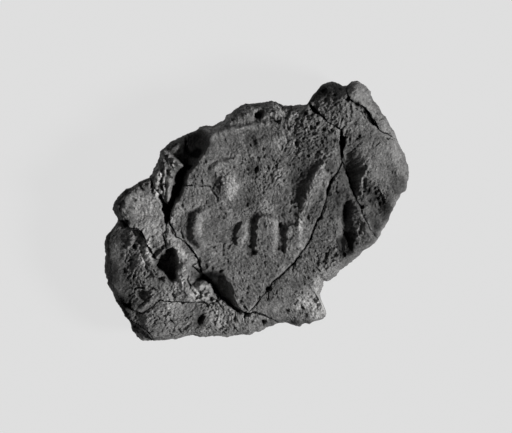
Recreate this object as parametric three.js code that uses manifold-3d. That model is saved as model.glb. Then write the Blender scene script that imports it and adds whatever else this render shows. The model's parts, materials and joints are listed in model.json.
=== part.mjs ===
// Clay bulla: a lump of clay pressed over two strings on a flat backing and stamped with an oval
// seal. It has dried and cracked right through into nine fragments, which still lie together.
// Frame: millimetres, +Z out of the stamped face, +X along the lump, origin under its middle in
// the plane of the back. Places on the face are pixels of the photograph, looking straight down.
import * as THREE from "three";
import { mergeVertices } from "three/addons/utils/BufferGeometryUtils.js";
import Module from "manifold-3d";

const wasm = await Module();
wasm.setup();

// Driving dimensions of the lump
const lump_length = 30;
const lump_width = 21;
const face_height = 8; // back to the stamped face
const belly_height = 3.2; // back to the widest ring
const foot_inset = 1.2; // widest ring to the edge of the back
const shoulder_reach = 1.8; // widest ring to the edge of the top

// Driving dimensions of the cracks and of the relief
const crack_gap = 0.32;
const seal_relief = 0.5; // height of the stamped strokes and of the seal's rim
const ridge_rise = 0.55; // pressed-up clay beside the seal
const knob_rise = 1.1;
const pit_depth = 2.6;
const small_pit_depth = 0.9;
const breakout_depth = 2.1; // where the plate's lower left edge broke away
const fissure_depth = 2.3;
const dent_depth = 1; // finger dents on the right

// Driving dimensions of the back
const string_diameter = 1.5;
const string_depth = 0.5; // how far each string sank into the back
const string_spacing = 4.6;
const string_bow = 0.7; // how far each string bends sideways
const knot_diameter = 4.4;
const knot_depth = 0.9;
const knot_offset = 1.9; // knot's centre from the lump's middle, along +Y

// Sampling of the surfaces
const relief_cell = 0.44;
const shortest_edge = 0.03;
const overrun = 1; // cuts run this far past what they cut
const outline_steps = 136;
const shoulder_steps = 5;
const foot_steps = 4;
const foot_turn_degrees = 62;
const round_steps = 22; // round the pits and the marks in the back
const sharpest_bend = 0.5; // least cosine of a crack's bend that its mitre allows for
const shoulder_roundness = 2.4; // exponent of the shoulder's superellipse

// Placing the photograph's pixels on the lump
const lump_turn_degrees = 33; // the lump's long axis climbs to the right
const centre_pixels = [254, 214];

// Widest ring, clockwise from the notch at the top
const outline_pixels = [
  [307, 105], [311, 97], [317, 91], [325, 83.5], [333, 83], [345, 86], [352, 82], [360, 82],
  [368, 89], [372, 97], [379, 108], [389, 121], [397, 140], [406, 160], [409, 174], [407, 190],
  [400, 196], [392, 213], [384, 228], [377, 241], [365, 250], [354, 260], [342, 269], [331, 280],
  [323, 285], [320, 294], [323, 303], [326, 313], [320, 321], [306, 324.5], [298, 326],
  [285, 322], [276, 323.5], [259, 332], [238, 335], [212, 336], [187, 336.5], [165, 340],
  [148, 341], [137, 338], [130, 326], [122, 311], [113, 295], [107, 281], [104.5, 265],
  [105, 246], [108, 234], [117, 222], [116, 214], [114, 206], [120, 194], [130, 187.5],
  [140, 181], [150, 176], [157, 166], [162, 152], [170, 143.5], [184, 135], [198, 129],
  [208, 127], [219, 123.5], [226, 116], [236, 108], [250, 103], [271, 100.5], [283, 105],
];

// Through cracks: each has its places, and its width at each as a share of crack_gap
const long_crack = {
  path_pixels: [
    [302, 94], [311, 106], [316, 113], [325, 121], [334, 127], [341, 134], [340, 148],
    [341, 160], [337, 172], [329, 184], [326, 201], [319, 217], [311, 235], [303, 249],
    [293, 263], [280, 275], [268, 288], [257, 302], [248, 312],
  ],
  width_shares: [1, 1.9, 1.8, 1, 1, 1.3, 1.1, 1, 1, 1.3, 1, 1, 1.1, 1, 1, 1, 1.1, 1, 1],
};
const branch_crack = {
  path_pixels: [
    [341, 160], [345, 172], [351, 186], [356, 199], [361, 211], [366, 222], [372, 233],
    [384, 252],
  ],
  width_shares: [1, 1, 1, 1, 1, 1, 1, 1],
};
const flake_crack = {
  path_pixels: [
    [346, 74], [346, 86], [347, 96], [354, 104], [362, 107], [367, 113], [373, 121], [380, 131],
    [388, 138], [404, 142],
  ],
  width_shares: [1, 1, 1.6, 1.2, 1.2, 1.7, 1.6, 1, 1, 1],
};
const left_crack = {
  path_pixels: [
    [184, 122], [186, 136], [188, 150], [188, 163], [182, 175], [179, 188], [174, 200],
    [168, 210], [170, 221], [176, 232], [185, 241], [193, 253], [200, 265], [206, 279],
    [213, 290], [221, 298], [232, 306], [244, 312.5], [258, 313.5], [270, 317], [281, 322],
    [292, 334],
  ],
  width_shares: [
    1, 1.6, 2.6, 2.6, 2.4, 2.6, 2.2, 2.4, 1.2, 1, 1, 1, 1.1, 1.6, 1.6, 1.3, 1.2, 1.4, 1, 1, 1, 1,
  ],
};
const spur_crack = {
  path_pixels: [[168, 210], [163, 202], [158, 193], [153, 184], [148, 174], [143, 164]],
  width_shares: [1.4, 1.2, 1, 1, 1, 1],
};
const pit_crack = {
  path_pixels: [
    [104, 214], [118, 218], [126, 226], [138, 229], [146, 242], [154, 255], [165, 262],
    [170, 252], [165, 242], [166, 229], [168, 210],
  ],
  width_shares: [1, 1.1, 1.5, 1, 1.2, 1, 1, 1, 1, 1, 1.2],
};
const bottom_crack = {
  path_pixels: [
    [107, 296], [122, 303], [135, 311.5], [149, 307.5], [159, 300], [175, 301], [192, 302.5],
    [206, 302.5], [218, 295.5],
  ],
  width_shares: [1, 1.4, 1.3, 1.3, 1, 1, 1, 1, 1],
};
const corner_crack = {
  path_pixels: [[118, 311], [130, 319], [141, 327.5], [148.5, 334], [153, 348]],
  width_shares: [1, 1, 1, 1, 1],
};
const cracks = [
  long_crack, branch_crack, flake_crack, left_crack, spur_crack, pit_crack, bottom_crack,
  corner_crack,
];

// Fragments. The top of each blends its spot heights, which are shares of face_height, and its
// label is a place on that fragment and on no other.
const spot_spread_pixels = 13;
const seal_field = {
  name: "seal_field",
  label_pixels: [232, 232],
  colour: 0x6e6e6c,
  spots_pixels: [
    [212, 136], [250, 116], [285, 116], [318, 132], [196, 176], [236, 160], [276, 160],
    [322, 170], [182, 212], [214, 200], [250, 200], [288, 196], [314, 196], [190, 240],
    [230, 238], [268, 240], [300, 236], [214, 262], [246, 274], [276, 268], [236, 300],
    [256, 294],
  ],
  height_shares: [
    1.02, 0.98, 1.02, 1.07, 1.03, 0.99, 0.98, 1.06, 1.04, 1, 0.975, 0.97, 1.04, 1.01, 0.98, 0.97,
    0.99, 0.96, 0.95, 0.95, 0.9, 0.92,
  ],
};
const lower_wedge = {
  name: "lower_wedge",
  label_pixels: [322, 240],
  colour: 0x757573,
  spots_pixels: [
    [340, 180], [334, 206], [330, 232], [356, 216], [362, 238], [312, 256], [344, 252],
    [324, 268], [292, 280], [270, 300], [306, 290], [312, 308], [290, 312], [276, 314],
  ],
  height_shares: [1, 1, 0.99, 1.05, 1.03, 0.97, 0.98, 0.91, 0.93, 0.9, 0.84, 0.72, 0.78, 0.82],
};
const right_fragment = {
  name: "right_fragment",
  label_pixels: [376, 170],
  colour: 0x7c7c7a,
  spots_pixels: [
    [322, 102], [334, 116], [352, 118], [352, 142], [346, 168], [368, 168], [372, 142],
    [392, 160], [398, 182], [376, 194], [364, 200], [374, 222], [386, 206], [380, 232],
  ],
  height_shares: [1.04, 1.06, 1.06, 1.03, 0.97, 1.04, 1, 0.93, 0.9, 1, 1.05, 0.99, 0.92, 0.9],
};
const top_right_flake = {
  name: "top_right_flake",
  label_pixels: [368, 101],
  colour: 0x8a8a88,
  spots_pixels: [[356, 92], [368, 100], [378, 114], [388, 130]],
  height_shares: [1.06, 0.98, 0.93, 0.9],
};
const upper_left_ridge = {
  name: "upper_left_ridge",
  label_pixels: [168, 172],
  colour: 0x63635f,
  spots_pixels: [[182, 142], [174, 150], [168, 164], [166, 182], [168, 198], [158, 184]],
  height_shares: [0.8, 0.87, 0.9, 0.9, 0.88, 0.86],
};
const left_shoulder = {
  name: "left_shoulder",
  label_pixels: [142, 212],
  colour: 0x858582,
  spots_pixels: [
    [124, 204], [142, 194], [154, 204], [134, 218], [158, 218], [150, 232], [160, 244],
  ],
  height_shares: [0.9, 0.9, 0.88, 0.9, 0.85, 0.86, 0.84],
};
const left_end = {
  name: "left_end",
  label_pixels: [142, 274],
  colour: 0x6a6a68,
  spots_pixels: [
    [118, 236], [134, 238], [146, 254], [122, 262], [142, 274], [126, 288], [150, 290],
    [170, 290], [186, 264], [176, 242], [188, 288], [204, 292],
  ],
  height_shares: [0.72, 0.82, 0.9, 0.76, 0.86, 0.72, 0.84, 0.86, 0.93, 0.96, 0.88, 0.84],
};
const bottom_strip = {
  name: "bottom_strip",
  label_pixels: [182, 320],
  colour: 0x787876,
  spots_pixels: [
    [134, 320], [152, 316], [176, 310], [176, 328], [204, 312], [216, 324], [238, 320],
    [262, 322],
  ],
  height_shares: [0.66, 0.8, 0.84, 0.76, 0.82, 0.76, 0.8, 0.78],
};
const lower_left_flake = {
  name: "lower_left_flake",
  label_pixels: [138, 333],
  colour: 0x5e5e5b,
  spots_pixels: [[134, 328], [142, 335]],
  height_shares: [0.58, 0.6],
};
const fragments = [
  seal_field, lower_wedge, right_fragment, top_right_flake, upper_left_ridge, left_shoulder,
  left_end, bottom_strip, lower_left_flake,
];

// Relief: strokes are raised along a path, mounds are ovals
const rim = {
  path_pixels: [[206, 152], [212, 140], [224, 133], [242, 128], [272, 124]],
  half_pixels: 7,
  share: 0.8,
};
const crescent = {
  path_pixels: [[206, 211], [197, 217], [194, 228], [197, 240], [206, 246]],
  half_pixels: 7,
  share: 0.9,
};
const first_rib = {
  path_pixels: [[242, 220], [240, 232], [237, 246]],
  half_pixels: 7,
  share: 0.8,
};
const short_arc = { path_pixels: [[213, 168], [222, 163], [234, 161]], half_pixels: 6, share: 0.5 };
const narrow_strokes = [rim, crescent, first_rib, short_arc];
const second_rib = { path_pixels: [[264, 213], [264, 249]], half_pixels: 15, share: 0.9 };
const third_rib = { path_pixels: [[293, 224], [292, 250]], half_pixels: 13, share: 0.7 };
const broad_strokes = [second_rib, third_rib];
const broad_flat_share = 0.35; // level part of a broad stroke's half width
const long_ridge = {
  path_pixels: [[305, 204], [313, 186], [325, 166]],
  half_pixels: 12,
  share: 1,
};
const upper_ridge = {
  path_pixels: [[366, 164], [363, 180], [360, 196]],
  half_pixels: 10,
  share: 0.7,
};
const lower_ridge = { path_pixels: [[364, 222], [366, 244]], half_pixels: 10, share: 0.8 };
const left_ridge = {
  path_pixels: [[147, 246], [149, 266], [155, 276]],
  half_pixels: 7,
  share: 0.7,
};
const pit_ridge = {
  path_pixels: [[168, 238], [179, 250], [188, 262], [184, 278], [188, 292]],
  half_pixels: 8,
  share: 0.6,
};
const pressed_ridges = [long_ridge, upper_ridge, lower_ridge, left_ridge, pit_ridge];
const knob = { at_pixels: [345, 99], radii_pixels: [34, 22], turn_degrees: 8 };

// Lumps and hollows of the stamped face. Their shares are of seal_relief, and a hollow's is negative.
const seal_boss = { at_pixels: [229, 186], radii_pixels: [15, 17], turn_degrees: 0, share: 1 };
const boss_foot = { at_pixels: [243, 181], radii_pixels: [10, 9], turn_degrees: 0, share: 0.5 };
const boss_hollow = { at_pixels: [213, 184], radii_pixels: [7, 10], turn_degrees: 0, share: -0.4 };
const upper_patch = { at_pixels: [253, 142], radii_pixels: [8, 11], turn_degrees: 0, share: -0.5 };
const middle_patch = { at_pixels: [246, 203], radii_pixels: [8, 8], turn_degrees: 0, share: -0.4 };
const pitted_patch = { at_pixels: [264, 178], radii_pixels: [9, 12], turn_degrees: 0, share: -0.3 };
const crumbled_hollow = { at_pixels: [314, 155], radii_pixels: [9, 8], turn_degrees: 0, share: -0.9 };
const crumbled_lump = { at_pixels: [328, 136], radii_pixels: [9, 8], turn_degrees: 0, share: 0.5 };
const rim_lump = { at_pixels: [280, 113], radii_pixels: [10, 7], turn_degrees: 0, share: 0.5 };
const face_lumps = [
  seal_boss, boss_foot, boss_hollow, upper_patch, middle_patch, pitted_patch, crumbled_hollow,
  crumbled_lump, rim_lump,
];

// Lumps and hollows of the broken clay round it. Their shares are of ridge_rise.
const breakout_lump = { at_pixels: [203, 288], radii_pixels: [10, 9], turn_degrees: 0, share: 0.9 };
const end_lump = { at_pixels: [142, 264], radii_pixels: [8, 12], turn_degrees: 0, share: 0.5 };
const end_hollow = { at_pixels: [128, 266], radii_pixels: [7, 9], turn_degrees: 0, share: -0.5 };
const end_recess = { at_pixels: [142, 294], radii_pixels: [8, 8], turn_degrees: 0, share: -1 };
const end_notch = { at_pixels: [134, 247], radii_pixels: [7, 6], turn_degrees: 0, share: -1.1 };
const low_pocket = { at_pixels: [127, 306], radii_pixels: [9, 8], turn_degrees: 0, share: -1.5 };
const side_pocket = { at_pixels: [125, 223], radii_pixels: [8, 7], turn_degrees: 0, share: -1.2 };
const shoulder_pit = { at_pixels: [152, 188], radii_pixels: [6, 8], turn_degrees: 0, share: -1.3 };
const shoulder_dip = { at_pixels: [140, 187], radii_pixels: [7, 6], turn_degrees: 0, share: -1 };
const clay_lumps = [
  breakout_lump, end_lump, end_hollow, end_recess, end_notch, low_pocket, side_pocket,
  shoulder_pit, shoulder_dip,
];

// Valleys fall slowly from the long bank and climb fast to the steep one. The steep share is the
// steep side's part of the width.
const fissure = {
  long_bank_pixels: [
    [211, 112], [209, 141], [206, 153], [199, 162], [192, 170], [186, 178], [184, 188],
    [178, 199], [173, 207], [171, 221],
  ],
  steep_bank_pixels: [
    [179, 120], [182, 143], [181, 158], [183, 166], [177, 175], [176, 186], [172, 197],
    [163, 207], [165, 221],
  ],
  steep_share: 0.2,
  depth: fissure_depth,
};
const breakout = {
  long_bank_pixels: [
    [194, 276], [203, 272], [214, 270], [225, 275], [232, 284], [233, 297], [242, 311],
  ],
  steep_bank_pixels: [[197, 281], [205, 282], [213, 294], [226, 302], [240, 313]],
  steep_share: 0.25,
  depth: breakout_depth,
};
const inner_dent = {
  long_bank_pixels: [[315, 165], [309, 177], [305, 192], [302, 202]],
  steep_bank_pixels: [[302, 163], [294, 173], [290, 184], [297, 200]],
  steep_share: 0.35,
  depth: dent_depth,
};
const upper_dent = {
  long_bank_pixels: [[358, 154], [363, 164], [361, 178], [356, 194]],
  steep_bank_pixels: [[345, 154], [341, 162], [347, 177], [353, 193]],
  steep_share: 0.2,
  depth: dent_depth,
};
const lower_dent = {
  long_bank_pixels: [[352, 200], [358, 212], [357, 228], [358, 243], [352, 257]],
  steep_bank_pixels: [[349, 201], [343, 214], [343, 235], [343, 256]],
  steep_share: 0.2,
  depth: dent_depth,
};
const valleys = [fissure, breakout, inner_dent, upper_dent, lower_dent];

// Pits are deepest in the middle, and each cuts only the fragments that it names
const big_pit = {
  at_pixels: [168, 265],
  radii_pixels: [12, 16.5],
  turn_degrees: -10,
  depth: pit_depth,
  cuts: ["left_end", "left_shoulder"],
};
const top_pit = {
  at_pixels: [259, 115.5],
  radii_pixels: [6.5, 7],
  turn_degrees: 0,
  depth: small_pit_depth,
  cuts: ["seal_field"],
};
const small_pit = {
  at_pixels: [199, 320],
  radii_pixels: [6, 8],
  turn_degrees: 30,
  depth: small_pit_depth,
  cuts: ["bottom_strip"],
};
const pits = [big_pit, top_pit, small_pit];

// Unit directions of the lump's long and wide axes in the photograph
const lump_turn = THREE.MathUtils.degToRad(lump_turn_degrees);
const along = [Math.cos(lump_turn), -Math.sin(lump_turn)];
const across = [-Math.sin(lump_turn), -Math.cos(lump_turn)];
const dot = (a, b) => a[0] * b[0] + a[1] * b[1];

// Closed smooth curve through places in a plane
function smoothLoop(points, steps) {
  const curve = new THREE.CatmullRomCurve3(
    points.map(([x, y]) => new THREE.Vector3(x, y, 0)),
    true,
    "centripetal",
  );
  return curve.getSpacedPoints(steps).slice(0, steps).map((p) => [p.x, p.y]);
}

const outline_loop = smoothLoop(outline_pixels, outline_steps);
const spanOf = (axis) => {
  const reach = outline_loop.map((p) => dot(p, axis));
  return { low: Math.min(...reach), high: Math.max(...reach) };
};
const long_span = spanOf(along);
const wide_span = spanOf(across);
const long_scale = lump_length / (long_span.high - long_span.low);
const wide_scale = lump_width / (wide_span.high - wide_span.low);
const middleOf = (span) => (span.low + span.high) / 2;

// Pixel place to millimetres on the lump, and back
function place(pixel) {
  return [
    (dot(pixel, along) - middleOf(long_span)) * long_scale,
    (dot(pixel, across) - middleOf(wide_span)) * wide_scale,
  ];
}

function pixelAt(x, y) {
  const u = x / long_scale + middleOf(long_span);
  const v = y / wide_scale + middleOf(wide_span);
  return [along[0] * u + across[0] * v, along[1] * u + across[1] * v];
}

// A rounded profile over a unit distance: 1 in the middle, 0 from the edge out
function bump(distance) {
  return distance >= 1 ? 0 : (1 - distance ** 2) ** 2;
}

function ovalDistance(oval, pixel) {
  const turn = THREE.MathUtils.degToRad(oval.turn_degrees);
  const offset = [pixel[0] - oval.at_pixels[0], pixel[1] - oval.at_pixels[1]];
  const major = dot(offset, [Math.cos(turn), Math.sin(turn)]) / oval.radii_pixels[0];
  const minor = dot(offset, [-Math.sin(turn), Math.cos(turn)]) / oval.radii_pixels[1];
  return Math.hypot(major, minor);
}

function gapToPath(path, pixel) {
  let nearest = Infinity;
  for (let i = 1; i < path.length; i++) {
    const [from, to] = [path[i - 1], path[i]];
    const step = [to[0] - from[0], to[1] - from[1]];
    const offset = [pixel[0] - from[0], pixel[1] - from[1]];
    const part = THREE.MathUtils.clamp(dot(offset, step) / dot(step, step), 0, 1);
    const gap = Math.hypot(offset[0] - part * step[0], offset[1] - part * step[1]);
    nearest = Math.min(nearest, gap);
  }
  return nearest;
}

function pathDistance(stroke, pixel) {
  return gapToPath(stroke.path_pixels, pixel) / stroke.half_pixels;
}

function isWithin(loop, [x, y]) {
  let inside = false;
  loop.forEach(([ax, ay], i) => {
    const [bx, by] = loop[(i + 1) % loop.length];
    const crosses = ay > y !== by > y;
    if (crosses && x < ax + ((y - ay) * (bx - ax)) / (by - ay)) inside = !inside;
  });
  return inside;
}

// How far down a valley is at a place, as a share of its depth
function valleyShare(valley, pixel) {
  const banks = [...valley.long_bank_pixels, ...[...valley.steep_bank_pixels].reverse()];
  if (!isWithin(banks, pixel)) return 0;
  const from_long = gapToPath(valley.long_bank_pixels, pixel);
  const across_share = from_long / (from_long + gapToPath(valley.steep_bank_pixels, pixel));
  const fall = across_share / (1 - valley.steep_share);
  const climb = (1 - across_share) / valley.steep_share;
  return THREE.MathUtils.smoothstep(Math.min(fall, climb), 0, 1);
}

// Relief over the spot heights, in millimetres
function relief(pixel) {
  let height = knob_rise * bump(ovalDistance(knob, pixel));
  for (const lump of face_lumps) {
    height += seal_relief * lump.share * bump(ovalDistance(lump, pixel));
  }
  for (const lump of clay_lumps) {
    height += ridge_rise * lump.share * bump(ovalDistance(lump, pixel));
  }
  for (const stroke of narrow_strokes) {
    height += seal_relief * stroke.share * bump(pathDistance(stroke, pixel));
  }
  for (const stroke of broad_strokes) {
    const beyond = Math.max(pathDistance(stroke, pixel) - broad_flat_share, 0);
    height += seal_relief * stroke.share * bump(beyond / (1 - broad_flat_share));
  }
  for (const ridge of pressed_ridges) {
    height += ridge_rise * ridge.share * bump(pathDistance(ridge, pixel));
  }
  for (const valley of valleys) {
    height -= valley.depth * valleyShare(valley, pixel);
  }
  return height;
}

// Spot heights blended by distance, so that the nearest counts most
function blendedShare(fragment, pixel) {
  let total = 0;
  let weights = 0;
  fragment.spots_pixels.forEach(([px, py], i) => {
    const gap = Math.hypot(pixel[0] - px, pixel[1] - py) / spot_spread_pixels;
    const weight = 1 / (1 + gap ** 2) ** 2;
    total += weight * fragment.height_shares[i];
    weights += weight;
  });
  return total / weights;
}

function topHeight(fragment, x, y) {
  const pixel = pixelAt(x, y);
  return face_height * blendedShare(fragment, pixel) + relief(pixel);
}

// A closed three.js geometry as a solid that can be cut, and back
function solidOf(geometry) {
  const bare = geometry.index ? geometry.toNonIndexed() : geometry.clone();
  bare.deleteAttribute("normal");
  bare.deleteAttribute("uv");
  const merged = mergeVertices(bare);
  return new wasm.Manifold(
    new wasm.Mesh({
      numProp: 3,
      vertProperties: new Float32Array(merged.getAttribute("position").array),
      triVerts: new Uint32Array(merged.index.array),
    }),
  );
}

// Closes up the edges that a cut leaves too short to matter, where the surface stays closed
function closeShortEdges(points, triangles) {
  const users = points.map(() => new Set());
  triangles.forEach((triangle, i) => triangle.forEach((v) => users[v].add(i)));
  const around = (v) => new Set([...users[v]].flatMap((i) => triangles[i]));
  const facing = (triangle, from, to) => {
    const [p, q, r] = triangle.map((v) => points[v === from ? to : v]);
    return q.clone().sub(p).cross(r.clone().sub(p));
  };
  const canClose = (from, to) => {
    const ends = around(to);
    const common = [...around(from)].filter((v) => ends.has(v));
    const kept = [...users[from]].map((i) => triangles[i]).filter((t) => !t.includes(to));
    const turned = kept.some((t) => facing(t).dot(facing(t, from, to)) < 0);
    return common.length === 4 && !turned;
  };
  const close = (from, to) => {
    for (const i of users[from]) {
      if (triangles[i].includes(to)) {
        triangles[i].forEach((v) => v !== from && users[v].delete(i));
        triangles[i] = [];
      } else {
        triangles[i] = triangles[i].map((v) => (v === from ? to : v));
        users[to].add(i);
      }
    }
    users[from] = new Set();
  };
  let closed = true;
  while (closed) {
    closed = false;
    for (let i = 0; i < triangles.length; i++) {
      for (let side = 0; side < triangles[i].length; side++) {
        const [a, b] = [triangles[i][side], triangles[i][(side + 1) % 3]];
        if (points[a].distanceTo(points[b]) > shortest_edge) continue;
        const ends = [[a, b], [b, a]].find(([from, to]) => canClose(from, to));
        if (!ends) continue;
        close(...ends);
        closed = true;
        break;
      }
    }
  }
  return triangles.filter((triangle) => triangle.length);
}

function geometryOf(solid) {
  const mesh = solid.getMesh();
  const points = [];
  for (let i = 0; i < mesh.vertProperties.length; i += mesh.numProp) {
    points.push(new THREE.Vector3().fromArray(mesh.vertProperties, i));
  }
  const triangles = [];
  for (let i = 0; i < mesh.triVerts.length; i += 3) {
    triangles.push([...mesh.triVerts.subarray(i, i + 3)]);
  }
  const corners = closeShortEdges(points, triangles).flat().map((v) => points[v]);
  const geometry = new THREE.BufferGeometry().setFromPoints(corners);
  geometry.computeVertexNormals();
  return geometry;
}

// Closed loft through rings of equal counts, with a flat face at each end
function loft(rings) {
  const count = rings[0].length;
  const points = rings.flat();
  const faces = [];
  for (let ring = 1; ring < rings.length; ring++) {
    for (let i = 0; i < count; i++) {
      const next = (i + 1) % count;
      const [a, b] = [(ring - 1) * count + i, (ring - 1) * count + next];
      const [c, d] = [ring * count + i, ring * count + next];
      faces.push(a, b, d, a, d, c);
    }
  }
  const flat = (ring) => ring.map(([x, y]) => new THREE.Vector2(x, y));
  const last = (rings.length - 1) * count;
  for (const [a, b, c] of THREE.ShapeUtils.triangulateShape(flat(rings[0]), [])) faces.push(a, c, b);
  for (const face of THREE.ShapeUtils.triangulateShape(flat(rings.at(-1)), [])) {
    faces.push(...face.map((i) => i + last));
  }
  const geometry = new THREE.BufferGeometry();
  geometry.setAttribute("position", new THREE.Float32BufferAttribute(points.flat(), 3));
  geometry.setIndex(faces);
  return geometry;
}

// The widest ring in millimetres, counter-clockwise, and one drawn in towards the lump's middle
const middle = place(centre_pixels);
const widest_ring = outline_loop.map(place).reverse();

function ringAt(inset, heightAt) {
  return widest_ring.map(([x, y]) => {
    const radius = Math.hypot(x - middle[0], y - middle[1]);
    const keep = 1 - inset / radius;
    const [px, py] = [middle[0] + (x - middle[0]) * keep, middle[1] + (y - middle[1]) * keep];
    return [px, py, heightAt(x, y, radius)];
  });
}

// Highest that any top can be, so that every cut clears it
const highest_share = Math.max(...fragments.flatMap((fragment) => fragment.height_shares));
const crown_height =
  face_height * highest_share + knob_rise + seal_relief + ridge_rise + overrun;
const cut_height = crown_height + 2 * overrun;

// The pebble round one top: undercut foot, widest ring, and a shoulder that meets that top
function pebble(fragment) {
  const rings = [];
  const foot_turn = THREE.MathUtils.degToRad(foot_turn_degrees);
  for (let i = 0; i <= foot_steps; i++) {
    const turn = foot_turn * (1 - i / foot_steps);
    const inset = (foot_inset * (1 - Math.cos(turn))) / (1 - Math.cos(foot_turn));
    const height = belly_height * (1 - Math.sin(turn) / Math.sin(foot_turn));
    rings.push(ringAt(inset, () => height));
  }
  const edgeHeight = (x, y, radius) => {
    const keep = 1 - shoulder_reach / radius;
    const [px, py] = [middle[0] + (x - middle[0]) * keep, middle[1] + (y - middle[1]) * keep];
    return topHeight(fragment, px, py);
  };
  for (let i = 1; i <= shoulder_steps; i++) {
    const turn = ((i / shoulder_steps) * Math.PI) / 2;
    const inset = shoulder_reach * (1 - Math.cos(turn) ** (2 / shoulder_roundness));
    const climb = Math.sin(turn) ** (2 / shoulder_roundness);
    rings.push(
      ringAt(inset, (x, y, radius) => {
        const rise = Math.max(edgeHeight(x, y, radius) - belly_height, shoulder_reach / 2);
        return belly_height + rise * climb;
      }),
    );
  }
  rings.push(ringAt(shoulder_reach, () => crown_height));
  return solidOf(loft(rings));
}

// A block whose upper face is one top
const block_length = lump_length + 2 * overrun;
const block_width = lump_width + 2 * overrun;

function reliefBlock(fragment) {
  const geometry = new THREE.BoxGeometry(
    block_length,
    block_width,
    crown_height,
    Math.round(block_length / relief_cell),
    Math.round(block_width / relief_cell),
  );
  const position = geometry.getAttribute("position");
  for (let i = 0; i < position.count; i++) {
    const [x, y] = [position.getX(i), position.getY(i)];
    position.setZ(i, position.getZ(i) > 0 ? topHeight(fragment, x, y) : -overrun);
  }
  return solidOf(geometry);
}

function uprightSolid(shape) {
  const geometry = new THREE.ExtrudeGeometry(shape, { depth: cut_height, bevelEnabled: false });
  return solidOf(geometry.translate(0, 0, -overrun));
}

// A crack as an upright ribbon with its own width at each point
function ribbon(crack) {
  const points = crack.path_pixels.map((pixel) => new THREE.Vector2(...place(pixel)));
  const sides = [[], []];
  points.forEach((point, i) => {
    const before = points[Math.max(i - 1, 0)];
    const after = points[Math.min(i + 1, points.length - 1)];
    const arriving = point.clone().sub(before).normalize();
    const leaving = after.clone().sub(point).normalize();
    const heading = arriving.clone().add(leaving).normalize();
    const turned = arriving.lengthSq() > 0 && leaving.lengthSq() > 0;
    const square = turned ? Math.max(heading.dot(leaving), sharpest_bend) : 1;
    const half = (crack_gap * crack.width_shares[i]) / 2 / square;
    const normal = new THREE.Vector2(-heading.y, heading.x).multiplyScalar(half);
    sides[0].push(point.clone().add(normal));
    sides[1].unshift(point.clone().sub(normal));
  });
  const shape = new THREE.Shape([...sides[0], ...sides[1]]);
  return uprightSolid(shape);
}

// The egg-shaped space of a pit, with its middle on the surface of the fragment
function pitSpace(pit, fragment) {
  const turn = THREE.MathUtils.degToRad(pit.turn_degrees);
  const [cos, sin] = [Math.cos(turn), Math.sin(turn)];
  const reachOf = (step) => {
    const [x, y] = place([pit.at_pixels[0] + step[0], pit.at_pixels[1] + step[1]]);
    return new THREE.Vector3(x, y, 0).sub(new THREE.Vector3(...place(pit.at_pixels), 0));
  };
  const major = reachOf([pit.radii_pixels[0] * cos, pit.radii_pixels[0] * sin]);
  const minor = reachOf([pit.radii_pixels[1] * sin, -pit.radii_pixels[1] * cos]);
  const [x, y] = place(pit.at_pixels);
  const frame = new THREE.Matrix4().makeBasis(major, minor, new THREE.Vector3(0, 0, pit.depth));
  frame.setPosition(x, y, topHeight(fragment, x, y));
  const ball = new THREE.SphereGeometry(1, round_steps, round_steps / 2);
  return solidOf(ball.rotateX(Math.PI / 2).applyMatrix4(frame));
}

// What the strings and their knot pressed out of the back
function stringMark(side) {
  const half_length = lump_width / 2 + overrun;
  const [x, z] = [(side * string_spacing) / 2, string_depth - string_diameter / 2];
  const route = new THREE.QuadraticBezierCurve3(
    new THREE.Vector3(x, -half_length, z),
    new THREE.Vector3(x + side * 2 * string_bow, 0, z),
    new THREE.Vector3(x, half_length, z),
  );
  const section = new THREE.Shape().absarc(0, 0, string_diameter / 2, 0, 2 * Math.PI);
  const options = { steps: round_steps, curveSegments: round_steps, extrudePath: route };
  return solidOf(new THREE.ExtrudeGeometry(section, options));
}

function knotMark() {
  const knot = new THREE.SphereGeometry(knot_diameter / 2, round_steps, round_steps / 2);
  return solidOf(knot.translate(0, knot_offset, knot_depth - knot_diameter / 2));
}

// The lump's plan as a column, split along the cracks
const plan = new THREE.Shape(widest_ring.map(([x, y]) => new THREE.Vector2(x, y)));
let columns = uprightSolid(plan);
for (const crack of cracks) {
  columns = columns.subtract(ribbon(crack));
}
const fragment_columns = columns.decompose();

function columnAt(pixel) {
  const probe = new THREE.BoxGeometry(crack_gap, crack_gap, crack_gap);
  const marker = solidOf(probe.translate(...place(pixel), belly_height));
  return fragment_columns.find((column) => column.intersect(marker).volume() > 0);
}

const back_marks = stringMark(-1).add(stringMark(1)).add(knotMark());

const bulla = new THREE.Group();
for (const fragment of fragments) {
  const clay = new THREE.MeshStandardMaterial({
    color: fragment.colour,
    roughness: 0.95,
    metalness: 0,
  });
  let solid = columnAt(fragment.label_pixels)
    .intersect(pebble(fragment))
    .intersect(reliefBlock(fragment))
    .subtract(back_marks);
  for (const pit of pits.filter((each) => each.cuts.includes(fragment.name))) {
    solid = solid.subtract(pitSpace(pit, fragment));
  }
  const mesh = new THREE.Mesh(geometryOf(solid), clay);
  mesh.name = fragment.name;
  bulla.add(mesh);
}

export default bulla;
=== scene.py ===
import json
import math

import bpy
import numpy as np
from mathutils import Matrix, Vector
from mathutils.geometry import delaunay_2d_cdt

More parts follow.
